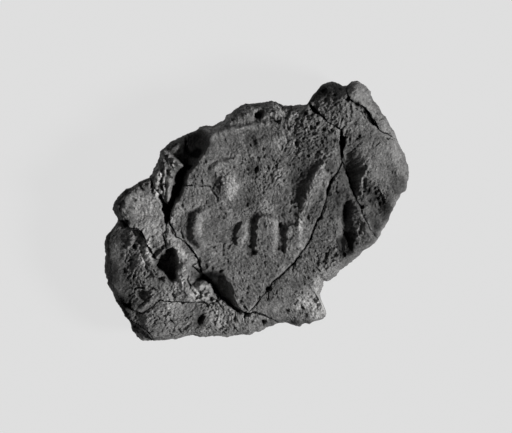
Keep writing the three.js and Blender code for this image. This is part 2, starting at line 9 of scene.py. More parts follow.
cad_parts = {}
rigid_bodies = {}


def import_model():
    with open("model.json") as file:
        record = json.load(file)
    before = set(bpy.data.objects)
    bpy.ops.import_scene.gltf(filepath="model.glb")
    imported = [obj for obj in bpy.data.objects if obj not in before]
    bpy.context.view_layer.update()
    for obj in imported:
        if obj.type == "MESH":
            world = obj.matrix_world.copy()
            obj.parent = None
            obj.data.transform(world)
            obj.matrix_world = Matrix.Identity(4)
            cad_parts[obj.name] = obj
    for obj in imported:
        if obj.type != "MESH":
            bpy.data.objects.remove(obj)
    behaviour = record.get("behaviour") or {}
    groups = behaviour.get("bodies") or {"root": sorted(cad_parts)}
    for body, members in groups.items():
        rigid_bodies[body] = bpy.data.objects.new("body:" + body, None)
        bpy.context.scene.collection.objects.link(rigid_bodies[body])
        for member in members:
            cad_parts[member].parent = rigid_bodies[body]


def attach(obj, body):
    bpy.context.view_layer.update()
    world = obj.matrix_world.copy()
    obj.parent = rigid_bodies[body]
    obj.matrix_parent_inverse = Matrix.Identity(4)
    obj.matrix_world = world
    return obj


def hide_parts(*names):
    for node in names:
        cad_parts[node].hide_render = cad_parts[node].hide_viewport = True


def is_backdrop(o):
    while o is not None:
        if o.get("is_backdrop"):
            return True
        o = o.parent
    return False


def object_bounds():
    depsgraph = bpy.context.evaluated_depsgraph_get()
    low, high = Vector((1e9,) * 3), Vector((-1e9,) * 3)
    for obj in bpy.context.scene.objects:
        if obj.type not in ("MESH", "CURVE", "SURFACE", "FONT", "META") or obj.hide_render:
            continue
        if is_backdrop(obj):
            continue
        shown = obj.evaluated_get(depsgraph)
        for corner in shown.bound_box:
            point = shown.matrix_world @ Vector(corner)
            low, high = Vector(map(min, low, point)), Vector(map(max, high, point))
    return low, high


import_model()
cad_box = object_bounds()

# The clay bulla's looks. One fine surface is laid over the whole lump, closed with a back and cut
# along the through cracks into the fragments. Heights and depths are in millimetres, places and
# widths on the face in pixels of the photograph, x to the right and y down.

MM = 0.001
LUMP_LENGTH = (cad_box[1].x - cad_box[0].x) / MM
LUMP_WIDTH = (cad_box[1].y - cad_box[0].y) / MM
FACE_HEIGHT = 8.0
BELLY_HEIGHT = 3.2
FOOT_INSET = 1.2
SHOULDER_REACH = 1.8

# What two strings, their knot and the backing's fibres and weave pressed out of the back
STRING_SPACING = 4.6
STRING_BOW = 0.7
STRING_DEPTH = 0.5
STRING_RADIUS = 0.75
KNOT_OFFSET = 1.9
KNOT_DEPTH = 0.9
KNOT_RADIUS = 2.2
FIBRE_DEPTH = 0.03
FIBRE_WIDTH = 0.28
FIBRE_STRETCH = 0.4
WEAVE_DEPTH = 0.015
WEAVE_SIZE = 0.5

# Cells of the surface along the lump and across it, and how many pixels' worth of them wrap
# over the shoulder and under the belly
LONG_CELLS = 536
WIDE_CELLS = 384
SHOULDER_WRAP = 27.0
FOOT_WRAP = 10.0

# Cells of the back in millimetres, and pixels between them and its rim
BACK_CELL = 0.17
BACK_MARGIN = 2.2

# How far the foot turns under, how square the shoulder is, and how much rounder on the right
FOOT_TURN = math.radians(62)
SHOULDER_SQUARENESS = 3.2
RIGHT_ROUNDNESS = 0.9

# The base's ring is smoothed over this angle in radians to each side, from this many samples,
# and reached early in the foot's turn. Inside its rim the surface stays over a least height.
BASE_SMOOTHING = 0.2
BASE_SAMPLES = 9
BASE_BLEND = 1.3
LEAST_HEIGHT = 0.01

# How the lump lies in the photograph
LUMP_TURN = math.radians(33)
ALONG = np.array([math.cos(LUMP_TURN), -math.sin(LUMP_TURN)])
ACROSS = np.array([-math.sin(LUMP_TURN), -math.cos(LUMP_TURN)])
CENTRE = np.array([254.0, 214.0])
IMAGE_CENTRE = (256, 216.5)
IMAGE_WIDTH = 512

# The part of the photograph that holds the lump, and the cells in which its fragments are told
# apart
FACE_COLUMNS = (90, 420)
FACE_ROWS = (70, 350)
REGION_CELL = 0.5
CRACK_WALL = 0.75
REGION_OVERLAP = 3

# Widest ring, clockwise from the notch at the top
OUTLINE = [
    (307, 105), (310, 100), (313, 95), (317, 91), (321, 86), (324, 84), (328, 82.5), (333, 83),
    (337, 84), (341, 86), (346, 86), (349, 84.5), (351, 82), (358, 81.5), (364, 85), (367, 88),
    (370, 92), (371, 96), (375, 101), (378, 105), (380, 110), (384, 115), (388, 120), (390, 125),
    (394, 134), (397, 139), (401, 148), (404, 154), (406, 160), (408, 166), (409, 172), (409, 178),
    (408, 184), (407, 190), (404, 192), (401, 194), (399, 198), (396, 204), (393, 211), (388, 221),
    (385, 227), (382, 231), (380, 236), (377, 241), (373, 245), (368, 248), (363, 251), (359, 256),
    (355, 259), (350, 263), (345, 267), (340, 270), (336, 275), (332, 279), (328, 281), (324, 281),
    (323, 286), (321, 290), (320, 294), (321, 299), (323, 304), (325, 309), (326, 314), (324, 318),
    (320, 320), (315, 322), (311, 324), (305, 324), (299, 326), (292, 324), (286, 322), (282, 322),
    (277, 323), (271, 326), (266, 328), (260, 332), (254, 333), (250, 335), (238, 335), (225, 336),
    (212, 336), (199, 337), (193, 335.5), (187, 336), (180, 338), (172, 339), (165, 340),
    (150, 341), (145, 341), (140, 340), (136, 337), (133, 333), (131, 329), (130, 325), (128, 321),
    (125, 317), (122, 312), (119, 307), (116, 302), (112, 292), (110, 288), (107, 284), (107, 280),
    (105, 275), (104, 266), (105, 260), (105, 245), (106, 240), (107, 236), (110, 232), (113, 228),
    (116, 224), (118, 219), (117, 216), (115, 213), (114, 209), (114, 205), (115, 202), (117, 198),
    (121, 193), (124, 190), (127, 188.5), (131, 187), (136, 184), (140, 181), (144, 180),
    (148, 178), (151, 175), (154, 171), (157, 166), (159, 162), (161, 157), (162, 152), (165, 148),
    (168, 145), (172, 142), (176, 139.5), (180, 137.5), (184, 135), (189, 132.5), (194, 131),
    (199, 129), (204, 127.5), (208, 127), (213, 127.5), (216, 126), (220, 123), (224, 120.5),
    (226, 117), (228, 114), (231, 112.5), (234, 110), (238, 107), (243, 105), (248, 103.5),
    (255, 103), (262, 102), (268, 101), (272, 100.5), (277, 101.5), (281, 104), (284, 105),
    (290, 105), (297, 105), (303, 105),
]

# Through cracks: x, y and width in pixels at each point
CRACKS = {
    "long": [
        (302, 94, 1), (309, 104, 2), (313, 110, 4), (320, 115, 2), (327, 122, 1.1),
        (334, 126, 0.6), (340, 130, 1.6), (341.5, 137, 3.2), (340.5, 145, 2.8), (341, 152, 1.8),
        (341.5, 159, 1.4), (340, 165, 1.6), (338, 171, 1.4), (333, 177, 1.4), (329, 182, 2.8),
        (328, 188, 2.6), (327, 196, 1.2), (325, 203, 1.2), (322.5, 210, 1.2), (320, 217, 1.9),
        (316, 222, 1.7), (313, 230, 1.3), (310, 238, 1.5), (306, 244, 1.3), (301, 251, 1.4),
        (298, 256, 1.4), (293, 263.5, 1.8), (287, 268.5, 1.3), (280, 274.5, 1.3), (273, 281, 1.2),
        (267.5, 288, 2), (263, 294, 0.6), (258, 301, 0.5), (252, 308, 0.5), (247, 313, 0.6),
    ],
    "branch": [
        (341.5, 160, 1.3), (342.5, 166, 1.6), (344.5, 172, 1.7), (347.5, 178, 1.4),
        (350, 184, 1.3), (352.5, 191, 1.1), (355.5, 198, 1.1), (358, 203, 1), (360.5, 208, 1.7),
        (361.5, 213, 0.9), (364, 218, 1.1), (366, 223, 0.7), (369, 229, 0.9), (373, 236, 0.5),
        (384, 252, 0.5),
    ],
    "flake": [
        (346, 74, 0.5), (346, 86, 0.5), (346.5, 94, 0.6), (348, 99, 2), (353, 103.5, 0.7),
        (358, 105.5, 0.8), (363, 106.5, 1.8), (366.5, 111, 3), (370, 116.5, 3.4), (373, 122, 3.4),
        (376, 126.5, 2), (380, 131, 1.4), (384.5, 134.5, 1.6), (389, 138.5, 1.8),
        (394, 139.5, 0.6), (406, 142, 0.5),
    ],
    "left": [
        (184, 120, 0.4), (186, 136, 0.4), (187, 148, 0.4), (187, 158, 0.6), (186, 165, 2),
        (181, 173, 4), (179, 183, 4), (177.5, 190, 5), (174.5, 197, 4), (171, 204, 4),
        (167, 210, 4.5), (168, 216, 2.6), (171, 223, 1), (173.5, 230, 0.7), (176.5, 237, 0.9),
        (181.5, 238, 0.5), (186, 241.5, 0.8), (190, 247, 1), (194.5, 253, 0.9), (199, 260, 1),
        (200.5, 267, 0.7), (202, 273, 1.4), (205.5, 278.5, 3), (211, 284.5, 3), (215, 292, 3),
        (219, 297, 2.4), (224.5, 300, 2), (230, 305, 2.2), (236, 309.5, 2), (243, 312.5, 2.6),
        (252, 312, 1.2), (261, 314.5, 1.2), (266, 316.5, 1.6), (273, 319, 1.5), (279, 321.5, 1.3),
        (292, 334, 1.3),
    ],
    "spur": [
        (168, 210, 3), (164, 204, 2), (161, 198, 1.1), (158, 193, 0.6), (154.5, 188, 1),
        (153, 182, 1.2), (149, 175, 0.7), (143, 164, 0.7),
    ],
    "pit": [
        (104, 214, 0.8), (117, 218, 0.9), (123, 222, 1.3), (127.5, 228, 1.6), (132, 229, 0.8),
        (138.5, 229, 0.8), (142, 234, 1.5), (144.5, 239, 1.5), (147, 244.5, 1), (151.5, 249, 0.5),
        (153, 254, 0.7), (157, 259, 0.8), (165, 261, 0.6), (168.5, 252, 0.8), (165.5, 246, 1.1),
        (164.5, 240, 1.2), (163.5, 234, 0.8), (166, 231, 0.9), (167, 225, 0.7), (166, 220, 1),
        (168, 210, 3),
    ],
    "bottom": [
        (107, 296, 0.6), (119, 301.5, 0.8), (126, 305, 1.8), (132, 309, 1.4), (138, 312.5, 0.8),
        (142, 311, 1.8), (149, 307.5, 1.5), (153.5, 303.5, 1.2), (157.5, 299.5, 1.1),
        (161, 299.5, 0.7), (163, 301.5, 1.3), (166.5, 300, 1.2), (171, 301, 0.4),
        (176, 300.5, 0.9), (183, 302, 1.1), (191, 302.5, 0.6), (199, 302, 0.9), (205, 302, 0.9),
        (209, 304, 0.6), (213, 301, 0.7), (219, 296, 0.8),
    ],
    "corner": [
        (118, 311, 0.6), (130, 319.5, 0.6), (135, 323.5, 0.7), (140.5, 328, 1.2), (145, 331.5, 1),
        (148.5, 335.5, 1.2), (151, 340, 0.8), (153, 350, 0.8),
    ],
}

# Fragments: a place on each, and its spot heights as x, y and share of FACE_HEIGHT
FRAGMENTS = {
    "seal_field": ((232, 232), [
        (212, 136, 1.02), (250, 116, 0.98), (285, 116, 1.02), (318, 132, 1.07), (196, 176, 1.03),
        (236, 160, 0.99), (276, 160, 0.98), (322, 170, 1.06), (182, 212, 1.02), (214, 200, 1),
        (250, 200, 0.975), (288, 196, 0.97), (314, 196, 1.04), (190, 240, 0.99), (230, 238, 0.98),
        (268, 240, 0.97), (300, 236, 0.99), (214, 262, 0.96), (246, 274, 0.95), (276, 268, 0.95),
        (236, 300, 0.9), (256, 294, 0.92),
    ]),
    "lower_wedge": ((322, 240), [
        (340, 180, 1), (334, 206, 1), (330, 232, 0.99), (356, 216, 1.05), (362, 238, 1.03),
        (312, 256, 0.97), (344, 252, 0.98), (324, 268, 0.91), (292, 280, 0.93), (270, 300, 0.9),
        (306, 290, 0.84), (312, 308, 0.72), (290, 312, 0.78), (276, 314, 0.82),
    ]),
    "right_fragment": ((376, 170), [
        (322, 102, 1.04), (334, 116, 1.06), (352, 118, 1.06), (352, 142, 1.03), (346, 168, 0.97),
        (368, 168, 1.04), (372, 142, 1), (392, 160, 0.93), (398, 182, 0.9), (376, 194, 1),
        (364, 200, 1.05), (374, 222, 0.99), (386, 206, 0.92), (380, 232, 0.9),
    ]),
    "top_right_flake": ((368, 101), [
        (356, 92, 1.06), (368, 100, 0.98), (378, 114, 0.93), (388, 130, 0.9),
    ]),
    "upper_left_ridge": ((168, 172), [
        (182, 142, 0.93), (175, 152, 0.99), (170, 166, 0.97), (168, 182, 0.97), (169, 198, 0.95),
        (159, 180, 0.88),
    ]),
    "left_shoulder": ((142, 212), [
        (124, 204, 0.9), (142, 194, 0.92), (154, 204, 0.95), (134, 218, 0.91), (160, 220, 0.98),
        (150, 232, 0.94), (160, 242, 0.98),
    ]),
    "left_end": ((142, 274), [
        (118, 236, 0.74), (134, 238, 0.87), (146, 254, 0.92), (122, 262, 0.76), (142, 274, 0.86),
        (126, 288, 0.72), (150, 290, 0.84), (170, 290, 0.86), (186, 264, 0.95), (178, 246, 0.97),
        (171, 229, 0.99), (188, 288, 0.91), (204, 292, 0.87),
    ]),
    "bottom_strip": ((182, 320), [
        (134, 320, 0.66), (152, 316, 0.8), (176, 310, 0.84), (176, 328, 0.76), (204, 312, 0.82),
        (216, 324, 0.76), (238, 320, 0.8), (262, 322, 0.78),
    ]),
    "lower_left_flake": ((138, 333), [(134, 328, 0.58), (142, 335, 0.6)]),
}
SPOT_SPREAD = 13.0

# Broad valleys: depth, how soft in pixels, the exponent of the long side's fall, the steep
# side's share of the width, the long bank and the steep one
VALLEYS = {
    "upper_fissure": (2.3, 0.8, 0.5, 0.17, [
        (211, 112), (210, 128), (209.5, 138), (209, 145), (205, 153), (200, 160.5), (195, 166),
        (191.5, 169.5)
    ], [
        (178, 118), (180, 138), (182, 145), (180, 151), (178, 156), (177.5, 161), (183, 165.5),
        (186, 167)
    ]),
    "lower_fissure": (2.5, 0.6, 0.45, 0.22, [
        (194, 167), (188.5, 174), (186.5, 179), (186, 184), (187, 185.5), (184, 188), (183, 193.5),
        (179, 199), (176, 203), (172.5, 208), (170.5, 214), (169, 222)
    ], [
        (185, 165), (180.5, 169.5), (176.5, 173.5), (174, 178), (174, 181), (176, 184), (173, 186),
        (171.5, 190), (171.5, 195), (169, 203), (163, 205), (161.5, 209), (165, 215), (165, 222)
    ]),
    "breakout": (2.5, 1.2, 1, 0.16, [
        (194, 277), (200, 273.5), (206, 272), (213, 271), (220, 271.5), (225, 275), (229, 279),
        (232, 284), (233.5, 290), (233, 297), (235, 303), (239, 308), (242, 311)
    ], [
        (194, 279.5), (199, 281), (204, 281.5), (208, 284), (211, 288.5), (213.5, 293.5),
        (217, 298), (221, 298.5), (226, 302), (231, 306.5), (236, 311), (240, 313)
    ]),
    "inner_dent": (0.3, 3, 1.3, 0.35, [
        (318, 164), (312, 171), (308, 178), (305, 184), (302, 190), (300, 194)
    ], [
        (300, 164), (296, 169), (291, 175), (288, 181), (288, 186), (291, 190), (294, 194)
    ]),
    "upper_dent": (1.3, 2.4, 1.5, 0.12, [
        (358, 148), (365, 157), (368, 166), (367, 176), (364, 184), (360, 191), (356, 196)
    ], [
        (343, 150), (340, 158), (341, 167), (343.5, 173), (346.5, 180), (349.5, 187), (353, 195)
    ]),
    "lower_dent": (1.35, 2.1, 1.6, 0.12, [
        (350, 199), (355, 205), (359, 212), (362, 220), (364, 228), (365, 236), (363, 244),
        (358, 251), (351, 258)
    ], [
        (345, 200), (341, 208), (339.5, 215), (339, 222), (339.5, 228), (339, 236), (338.5, 246),
        (340, 258)
    ]),
    "knob_facet": (1.7, 1.5, 1, 0.1, [
        (311, 104), (315, 99.5), (321, 98), (330, 98.5), (339, 98.5), (346, 96), (351, 91)
    ], [
        (306, 98), (309, 88), (316, 79), (327, 75), (338, 77), (346, 81), (351, 84)
    ]),
}

# The knob at the upper right: x, y, two radii, turn, rise
KNOB = (345, 99, 34, 22, 8, 1.1)

# Hollows: depth, pixels of the wall, outline. The stamped ribs stand up, so their depth is
# under zero.
HOLLOWS = {
    "first_rib": (-0.38, 2.8, [
        (242, 220.5), (247, 222), (247.5, 236), (244, 246), (237, 247.5), (234, 241), (234.5, 232),
        (238, 225)
    ]),
    "second_rib": (-0.55, 3.2, [
        (257.5, 213), (274, 213.5), (278, 221), (277.5, 245), (274, 254), (253, 254.5),
        (251.5, 245), (253.5, 226)
    ]),
    "third_rib": (-0.42, 2.8, [
        (284.5, 223), (300, 222), (303, 232), (303, 250), (298, 254), (284, 254), (283, 240)
    ]),
    "big_pit": (1.9, 2.5, [
        (173, 246.5), (177, 251), (178.5, 260), (180, 266), (178.5, 272), (178, 279), (175, 281.5),
        (170, 280), (166.5, 277), (162, 272), (157, 269), (153.5, 264.5), (155.5, 260.5),
        (158.5, 257), (162, 252.5), (165.5, 248.5)
    ]),
    "terrace": (0.5, 2, [
        (154, 249), (163, 245), (168, 246), (162, 252), (158, 257), (154, 261), (152, 256)
    ]),
    "flake_groove": (0.9, 1.5, [
        (352, 101.5), (357, 103), (362, 105.5), (367, 108.5), (372, 115), (377, 124), (375, 127),
        (369, 124), (363, 118), (358, 111.5), (354, 107)
    ]),
    "spur_notch": (0.9, 1.5, [
        (151, 182), (154, 184), (154.5, 188), (155, 192), (152, 194), (150.5, 188)
    ]),
    "shoulder_notch": (0.6, 2.5, [
        (136, 182), (141, 182), (143, 187), (145, 189), (143, 191), (139, 190)
    ]),
    "left_end_top": (0.7, 3, [
        (119, 219), (127, 218), (131, 222), (130, 227), (126, 228), (122, 224)
    ]),
    "left_end_dent": (0.9, 2.5, [(130.5, 247), (134, 243), (138, 245), (138, 249), (134, 250.5)]),
    "left_end_foot": (0.9, 4, [
        (120, 301), (127, 303), (131, 300), (133, 306), (131, 312), (126, 309)
    ]),
    "left_scar": (0.5, 2.5, [
        (134.5, 293), (137, 288), (143, 288.5), (149, 291), (147, 298), (143, 302), (139, 298)
    ]),
    "strip_dent": (0.7, 4, [
        (193, 318), (199, 314), (204, 312), (206, 316), (207, 320), (203, 326), (198, 329),
        (195, 325), (193, 322)
    ]),
    "strip_chip": (0.9, 1.5, [
        (259, 321), (263, 319), (267, 321), (265, 324), (264, 328), (261, 325)
    ]),
    "corner_chip": (1.0, 1.5, [
        (241.5, 312), (246, 310), (248, 313), (246, 316), (245, 319), (242, 318.5), (243, 315)
    ]),
    "rim_pit": (1.1, 2.5, [
        (253, 113), (257, 110), (263, 110), (265, 114), (263, 118.5), (259, 122), (257, 120),
        (253, 119)
    ]),
    "knob_notch": (1.4, 1.5, [(311, 108), (318, 110), (319, 113), (315, 113.5), (312, 111)]),
    "upper_dimple": (0.3, 4, [
        (249, 136), (253, 134.5), (257, 138), (259, 143), (256, 149), (251, 150), (249, 144)
    ]),
    "middle_dimple": (0.3, 3, [(251, 170), (256, 165), (259, 169), (257, 175), (252, 175)]),
    "lower_dimple": (0.3, 3, [(245, 203), (248, 199), (250, 204), (248, 208), (244, 207)]),
    "ragged_pit": (0.6, 1.5, [(276.5, 222), (281, 221), (283, 226), (280.5, 230), (277, 228)]),
    "breakout_end": (0.9, 2, [
        (194, 276), (199, 272.5), (204, 272), (208, 277), (211, 281), (209, 284.5), (204, 281.5),
        (199, 281), (195, 282)
    ]),
    "groove_end": (0.9, 1.2, [(343, 101), (346, 97.5), (349, 98), (350, 102), (347, 103.5)]),
    "crack_opening": (1.6, 1.2, [
        (338.5, 136), (345.5, 136.5), (345.5, 143), (343.5, 150), (342.5, 158), (340, 158),
        (339, 150), (338, 144)
    ]),
    "dent_foot": (0.7, 3.5, [
        (342.5, 231), (351, 229), (355, 240), (354, 252), (349, 256), (342.5, 254)
    ]),
    "dark_patch": (0.35, 1.5, [
        (371, 190), (378, 188), (384, 196), (387, 206), (384, 212), (379, 206), (374, 199)
    ]),
    "rib_foot": (0.35, 2, [(245, 251), (250, 249), (256.5, 250), (257, 255), (250, 256)]),
    "branch_dent": (0.45, 2, [
        (362, 177), (366, 178), (367, 184), (365, 190), (361, 189), (361, 183)
    ]),
    "wedge_dimple": (0.4, 2.5, [(291, 264), (295, 263), (296, 268), (291, 270)]),
    "field_dimple": (0.35, 2, [(306, 214), (310, 214), (310, 220), (305, 220)]),
}

# Ridges: half width, rise, crest
RIDGES = [
    # Stamped face
    (4.2, 0.36, [(211, 139), (219, 134.5), (229, 131), (240, 128.5), (252, 126), (266, 124.5)]),
    (5, 0.3, [(213, 169), (218, 165), (226, 162.5), (234, 161)]),
    (7.5, 0.58, [(204, 212.5), (198, 215.5), (195, 222), (194.5, 230), (196, 238), (201, 244)]),
    (2.5, 0.12, [(218, 243), (217.5, 251)]),
    (10, 0.42, [(306, 199), (309.5, 193), (313.5, 184), (318, 175), (325, 166)]),
    (8, 0.2, [(301, 240), (299.5, 222), (304, 204)]),
    # Right-hand part
    (2, 0.35, [(344, 151), (345, 159)]),
    (2.5, 0.25, [(367, 168), (363, 175), (359.5, 183), (357.5, 190)]),
    # Upper left ridge
    (3, 0.4, [(171, 156), (176, 151), (179, 147)]),
    (2.5, 0.4, [(174, 160), (173, 168), (171, 176)]),
    (3, 0.4, [(172, 178), (169.5, 190), (168.5, 200)]),
    (2, 0.35, [(165, 160), (166, 170), (164, 182), (165, 192)]),
    (3, 0.3, [(158, 177), (157, 186)]),
    # Left end
    (3, 0.25, [(124, 250), (129, 247), (131, 242), (134, 236)]),
    (3, 0.2, [(121, 264), (125, 255)]),
    (6, 0.35, [(147, 246), (149, 258), (152, 268), (157, 275)]),
    (8, 0.3, [(168, 238), (179, 250), (188, 262), (184, 278), (188, 292)]),
    # Along the bottom
    (3, 0.3, [(142, 307), (148, 303), (155, 297)]),
    (2, 0.2, [(219, 297), (227, 305)]),
    (3, 0.15, [(217, 312), (218, 322), (216, 332)]),
    (3, 0.2, [(151, 300), (152, 291)]),
    # Right-hand part
    (2.5, 0.2, [(352, 105), (352, 118)]),
    (7, 0.4, [(366, 222), (368, 240)]),
]

# Mounds, and dips where the rise is under zero: x, y, two radii, turn, rise
MOUNDS = [
    (229, 186, 17, 17, 0, 0.6), (242, 181, 8, 8, 0, 0.22), (176, 150, 6, 5, -40, 0.35),
    (179, 165, 6, 3.5, 0, 0.35), (201, 220, 3, 3, 0, 0.15), (200, 286, 5, 6, 0, 0.7),
    (206, 286, 4, 4, 0, 0.4), (209, 293, 5, 5, 0, 0.6), (203, 297, 5, 3.5, 0, 0.35),
    (204, 291, 4, 4, 0, 0.5), (165, 279, 2.6, 4, 0, 0.5), (359.5, 105.5, 2.6, 2, 30, 0.7),
    (363.5, 113, 2.6, 2, -30, 0.7), (357.5, 109.5, 2, 1.8, 0, 0.5), (367.5, 112.5, 2, 2, 0, 0.4),
    (368, 121, 2, 1.6, 0, 0.4), (216, 184, 7, 9, 0, -0.15), (126, 205, 3, 5, 0, 0.2),
    (312, 312, 12, 10, 0, 0.25), (300, 300, 12, 7, 30, 0.2), (150, 330, 12, 8, 0, 0.15),
    (245, 114, 7, 4, 0, 0.2), (278, 113, 8, 6, 0, 0.25), (337, 122, 7, 9, 0, 0.2),
    (369, 176, 9, 12, 0, 0.12), (330, 268, 14, 6, -30, 0.15), (141, 262, 7, 9, 0, 0.2),
    (131, 266, 5, 7, 0, -0.2), (147, 196, 5, 5, 0, 0.15), (190, 275, 4, 7, 0, -0.15),
]

# Grooves and hairline cracks: half width, depth, path
GROOVES = [
    # Upper left ridge and the fissure beside it
    (2.5, 1.5, [(160.5, 197), (163, 201), (167, 206)]),
    (1.2, 0.55, [(183, 186), (187, 186), (191, 186)]),
    (1.1, 0.5, [(195, 184.5), (198, 186), (203, 186.5), (207, 186), (211, 187.5)]),
    (1.5, 0.5, [(171, 150), (173, 147.5), (176, 145)]),
    (1.6, 0.45, [(160, 163), (162, 168), (161, 172), (163, 177), (162, 183), (163, 191)]),
    (1.3, 0.45, [(171, 163), (173, 168), (172.5, 173)]),
    (1.8, 0.5, [(168, 150), (167, 157)]),
    # Left shoulder and left end
    (2.2, 0.6, [(120, 199), (124, 195), (130, 191)]),
    (0.9, 0.15, [(142, 214), (149, 216), (153, 215), (157, 216.5)]),
    (1.3, 0.3, [(133, 231), (136, 236), (137, 241)]),
    (1.3, 0.5, [(128, 261), (133, 259.5)]),
    (1.2, 0.4, [(146, 262), (147, 269)]),
    (1.3, 0.35, [(123, 264), (126, 272)]),
    (1.3, 0.4, [(129, 277.5), (131.5, 274)]),
    (1.2, 0.3, [(136, 271), (133, 279)]),
    (1.3, 0.35, [(153, 270), (157, 275)]),
    (1.5, 0.6, [(156, 249), (160, 247), (164, 245)]),
    (1.6, 0.6, [(167, 275), (169, 278), (172, 280.5)]),
    (1.1, 0.35, [(170, 228), (172.5, 234)]),
    (1.4, 0.45, [(182, 229), (181.5, 233), (185, 238.5)]),
    (3, 0.3, [(181, 244), (186, 250), (188, 255)]),
    (1.5, 0.8, [(193, 266), (196, 268.5), (200, 273)]),
    (1, 0.3, [(194, 264), (200, 260.5)]),
    (1.6, 0.7, [(187, 276), (188, 282), (191, 286), (190.5, 289), (195, 293)]),
    (1.1, 0.4, [(200, 292), (202, 299)]),
    # Bottom strip
    (1.3, 0.6, [(198, 301), (204, 301)]),
    (1.4, 0.6, [(201, 304.5), (205, 305)]),
    (1.4, 0.4, [(215, 298), (219, 304), (223, 309)]),
    (1.2, 0.3, [(212, 302), (216, 307)]),
    (1.2, 0.3, [(219, 330), (224, 327)]),
    (1.4, 0.3, [(222, 333), (228, 329.5), (234, 329)]),
    (1.3, 0.3, [(233, 326), (237, 331)]),
    (1.3, 0.3, [(153, 323), (155, 320), (160, 319)]),
    (1.1, 0.25, [(153, 325), (157, 327.5)]),
    (1.2, 0.22, [(164, 322), (167, 327)]),
    (1.3, 0.3, [(171, 320), (174, 323)]),
    # Left end
    (1.3, 0.5, [(134, 293), (139, 297), (145, 300.5)]),
    (1.9, 0.8, [(134.5, 293), (135, 289), (137, 287.5), (143, 288)]),
    (1, 0.4, [(140, 280), (142, 286)]),
    (1.3, 0.4, [(150, 288), (156, 290)]),
    (1.5, 0.35, [(172, 293), (175, 297)]),
    # Stamped face
    (1.8, 0.6, [(244, 306.5), (248, 310)]),
    (1.2, 0.5, [(251, 311), (255, 312)]),
    (3.5, 0.15, [(228, 127), (236, 124), (246, 122), (254, 121.5)]),
    (2, 0.6, [(270, 119), (274, 121), (278, 123)]),
    (1.4, 0.45, [(285, 123), (288, 129)]),
    (2.2, 0.35, [(211, 190), (214, 194), (218, 199)]),
    (3, 0.25, [(213, 177), (213, 188)]),
    (1, 0.16, [(265, 170), (270, 163)]),
    (1, 0.16, [(261, 176), (267, 171)]),
    (1, 0.16, [(262, 182), (270, 175)]),
    (1, 0.16, [(268, 186), (273, 178)]),
    (2, 0.35, [(246, 254), (250, 252.5), (256, 252)]),
    (1.3, 0.4, [(291, 200), (290, 212)]),
    (1.1, 0.25, [(291, 200), (297, 201)]),
    (2, 0.35, [(224, 244), (223, 249), (223.5, 254)]),
    (1.5, 0.4, [(228.5, 247), (231, 243.5)]),
    (1.1, 0.5, [(268, 291), (268.5, 295), (267.5, 299)]),
    (1.2, 0.5, [(259.5, 296), (258, 300), (255, 304)]),
    # Right of the long crack
    (1.3, 0.6, [(340, 124), (342, 119)]),
    (1.4, 0.7, [(341, 130), (344, 127)]),
    (1.3, 0.5, [(344, 134.5), (346, 132)]),
    (1.2, 0.4, [(338.5, 133), (340, 136)]),
    (1.6, 0.45, [(386, 206), (385, 213)]),
    (1.2, 0.12, [(316, 226), (321, 232)]),
    (1.2, 0.12, [(322, 220), (327, 226)]),
    (1.2, 0.25, [(336, 240), (339, 249)]),
    (1.2, 0.3, [(341, 200), (343, 206), (345, 210)]),
    (2, 0.4, [(319.5, 291), (316, 296), (313, 299.5)]),
    (1.2, 0.25, [(352, 150), (360, 143)]),
    (1.3, 0.3, [(376, 146), (379, 142)]),
    (2.5, 0.5, [(314, 270), (316, 266), (317, 262)]),
    (1.5, 0.3, [(320, 262), (325, 258), (327, 253)]),
    (1.5, 0.3, [(330, 259), (335, 255), (340, 251)]),
    (1.5, 0.4, [(362, 109), (360, 106), (356, 104)]),
]

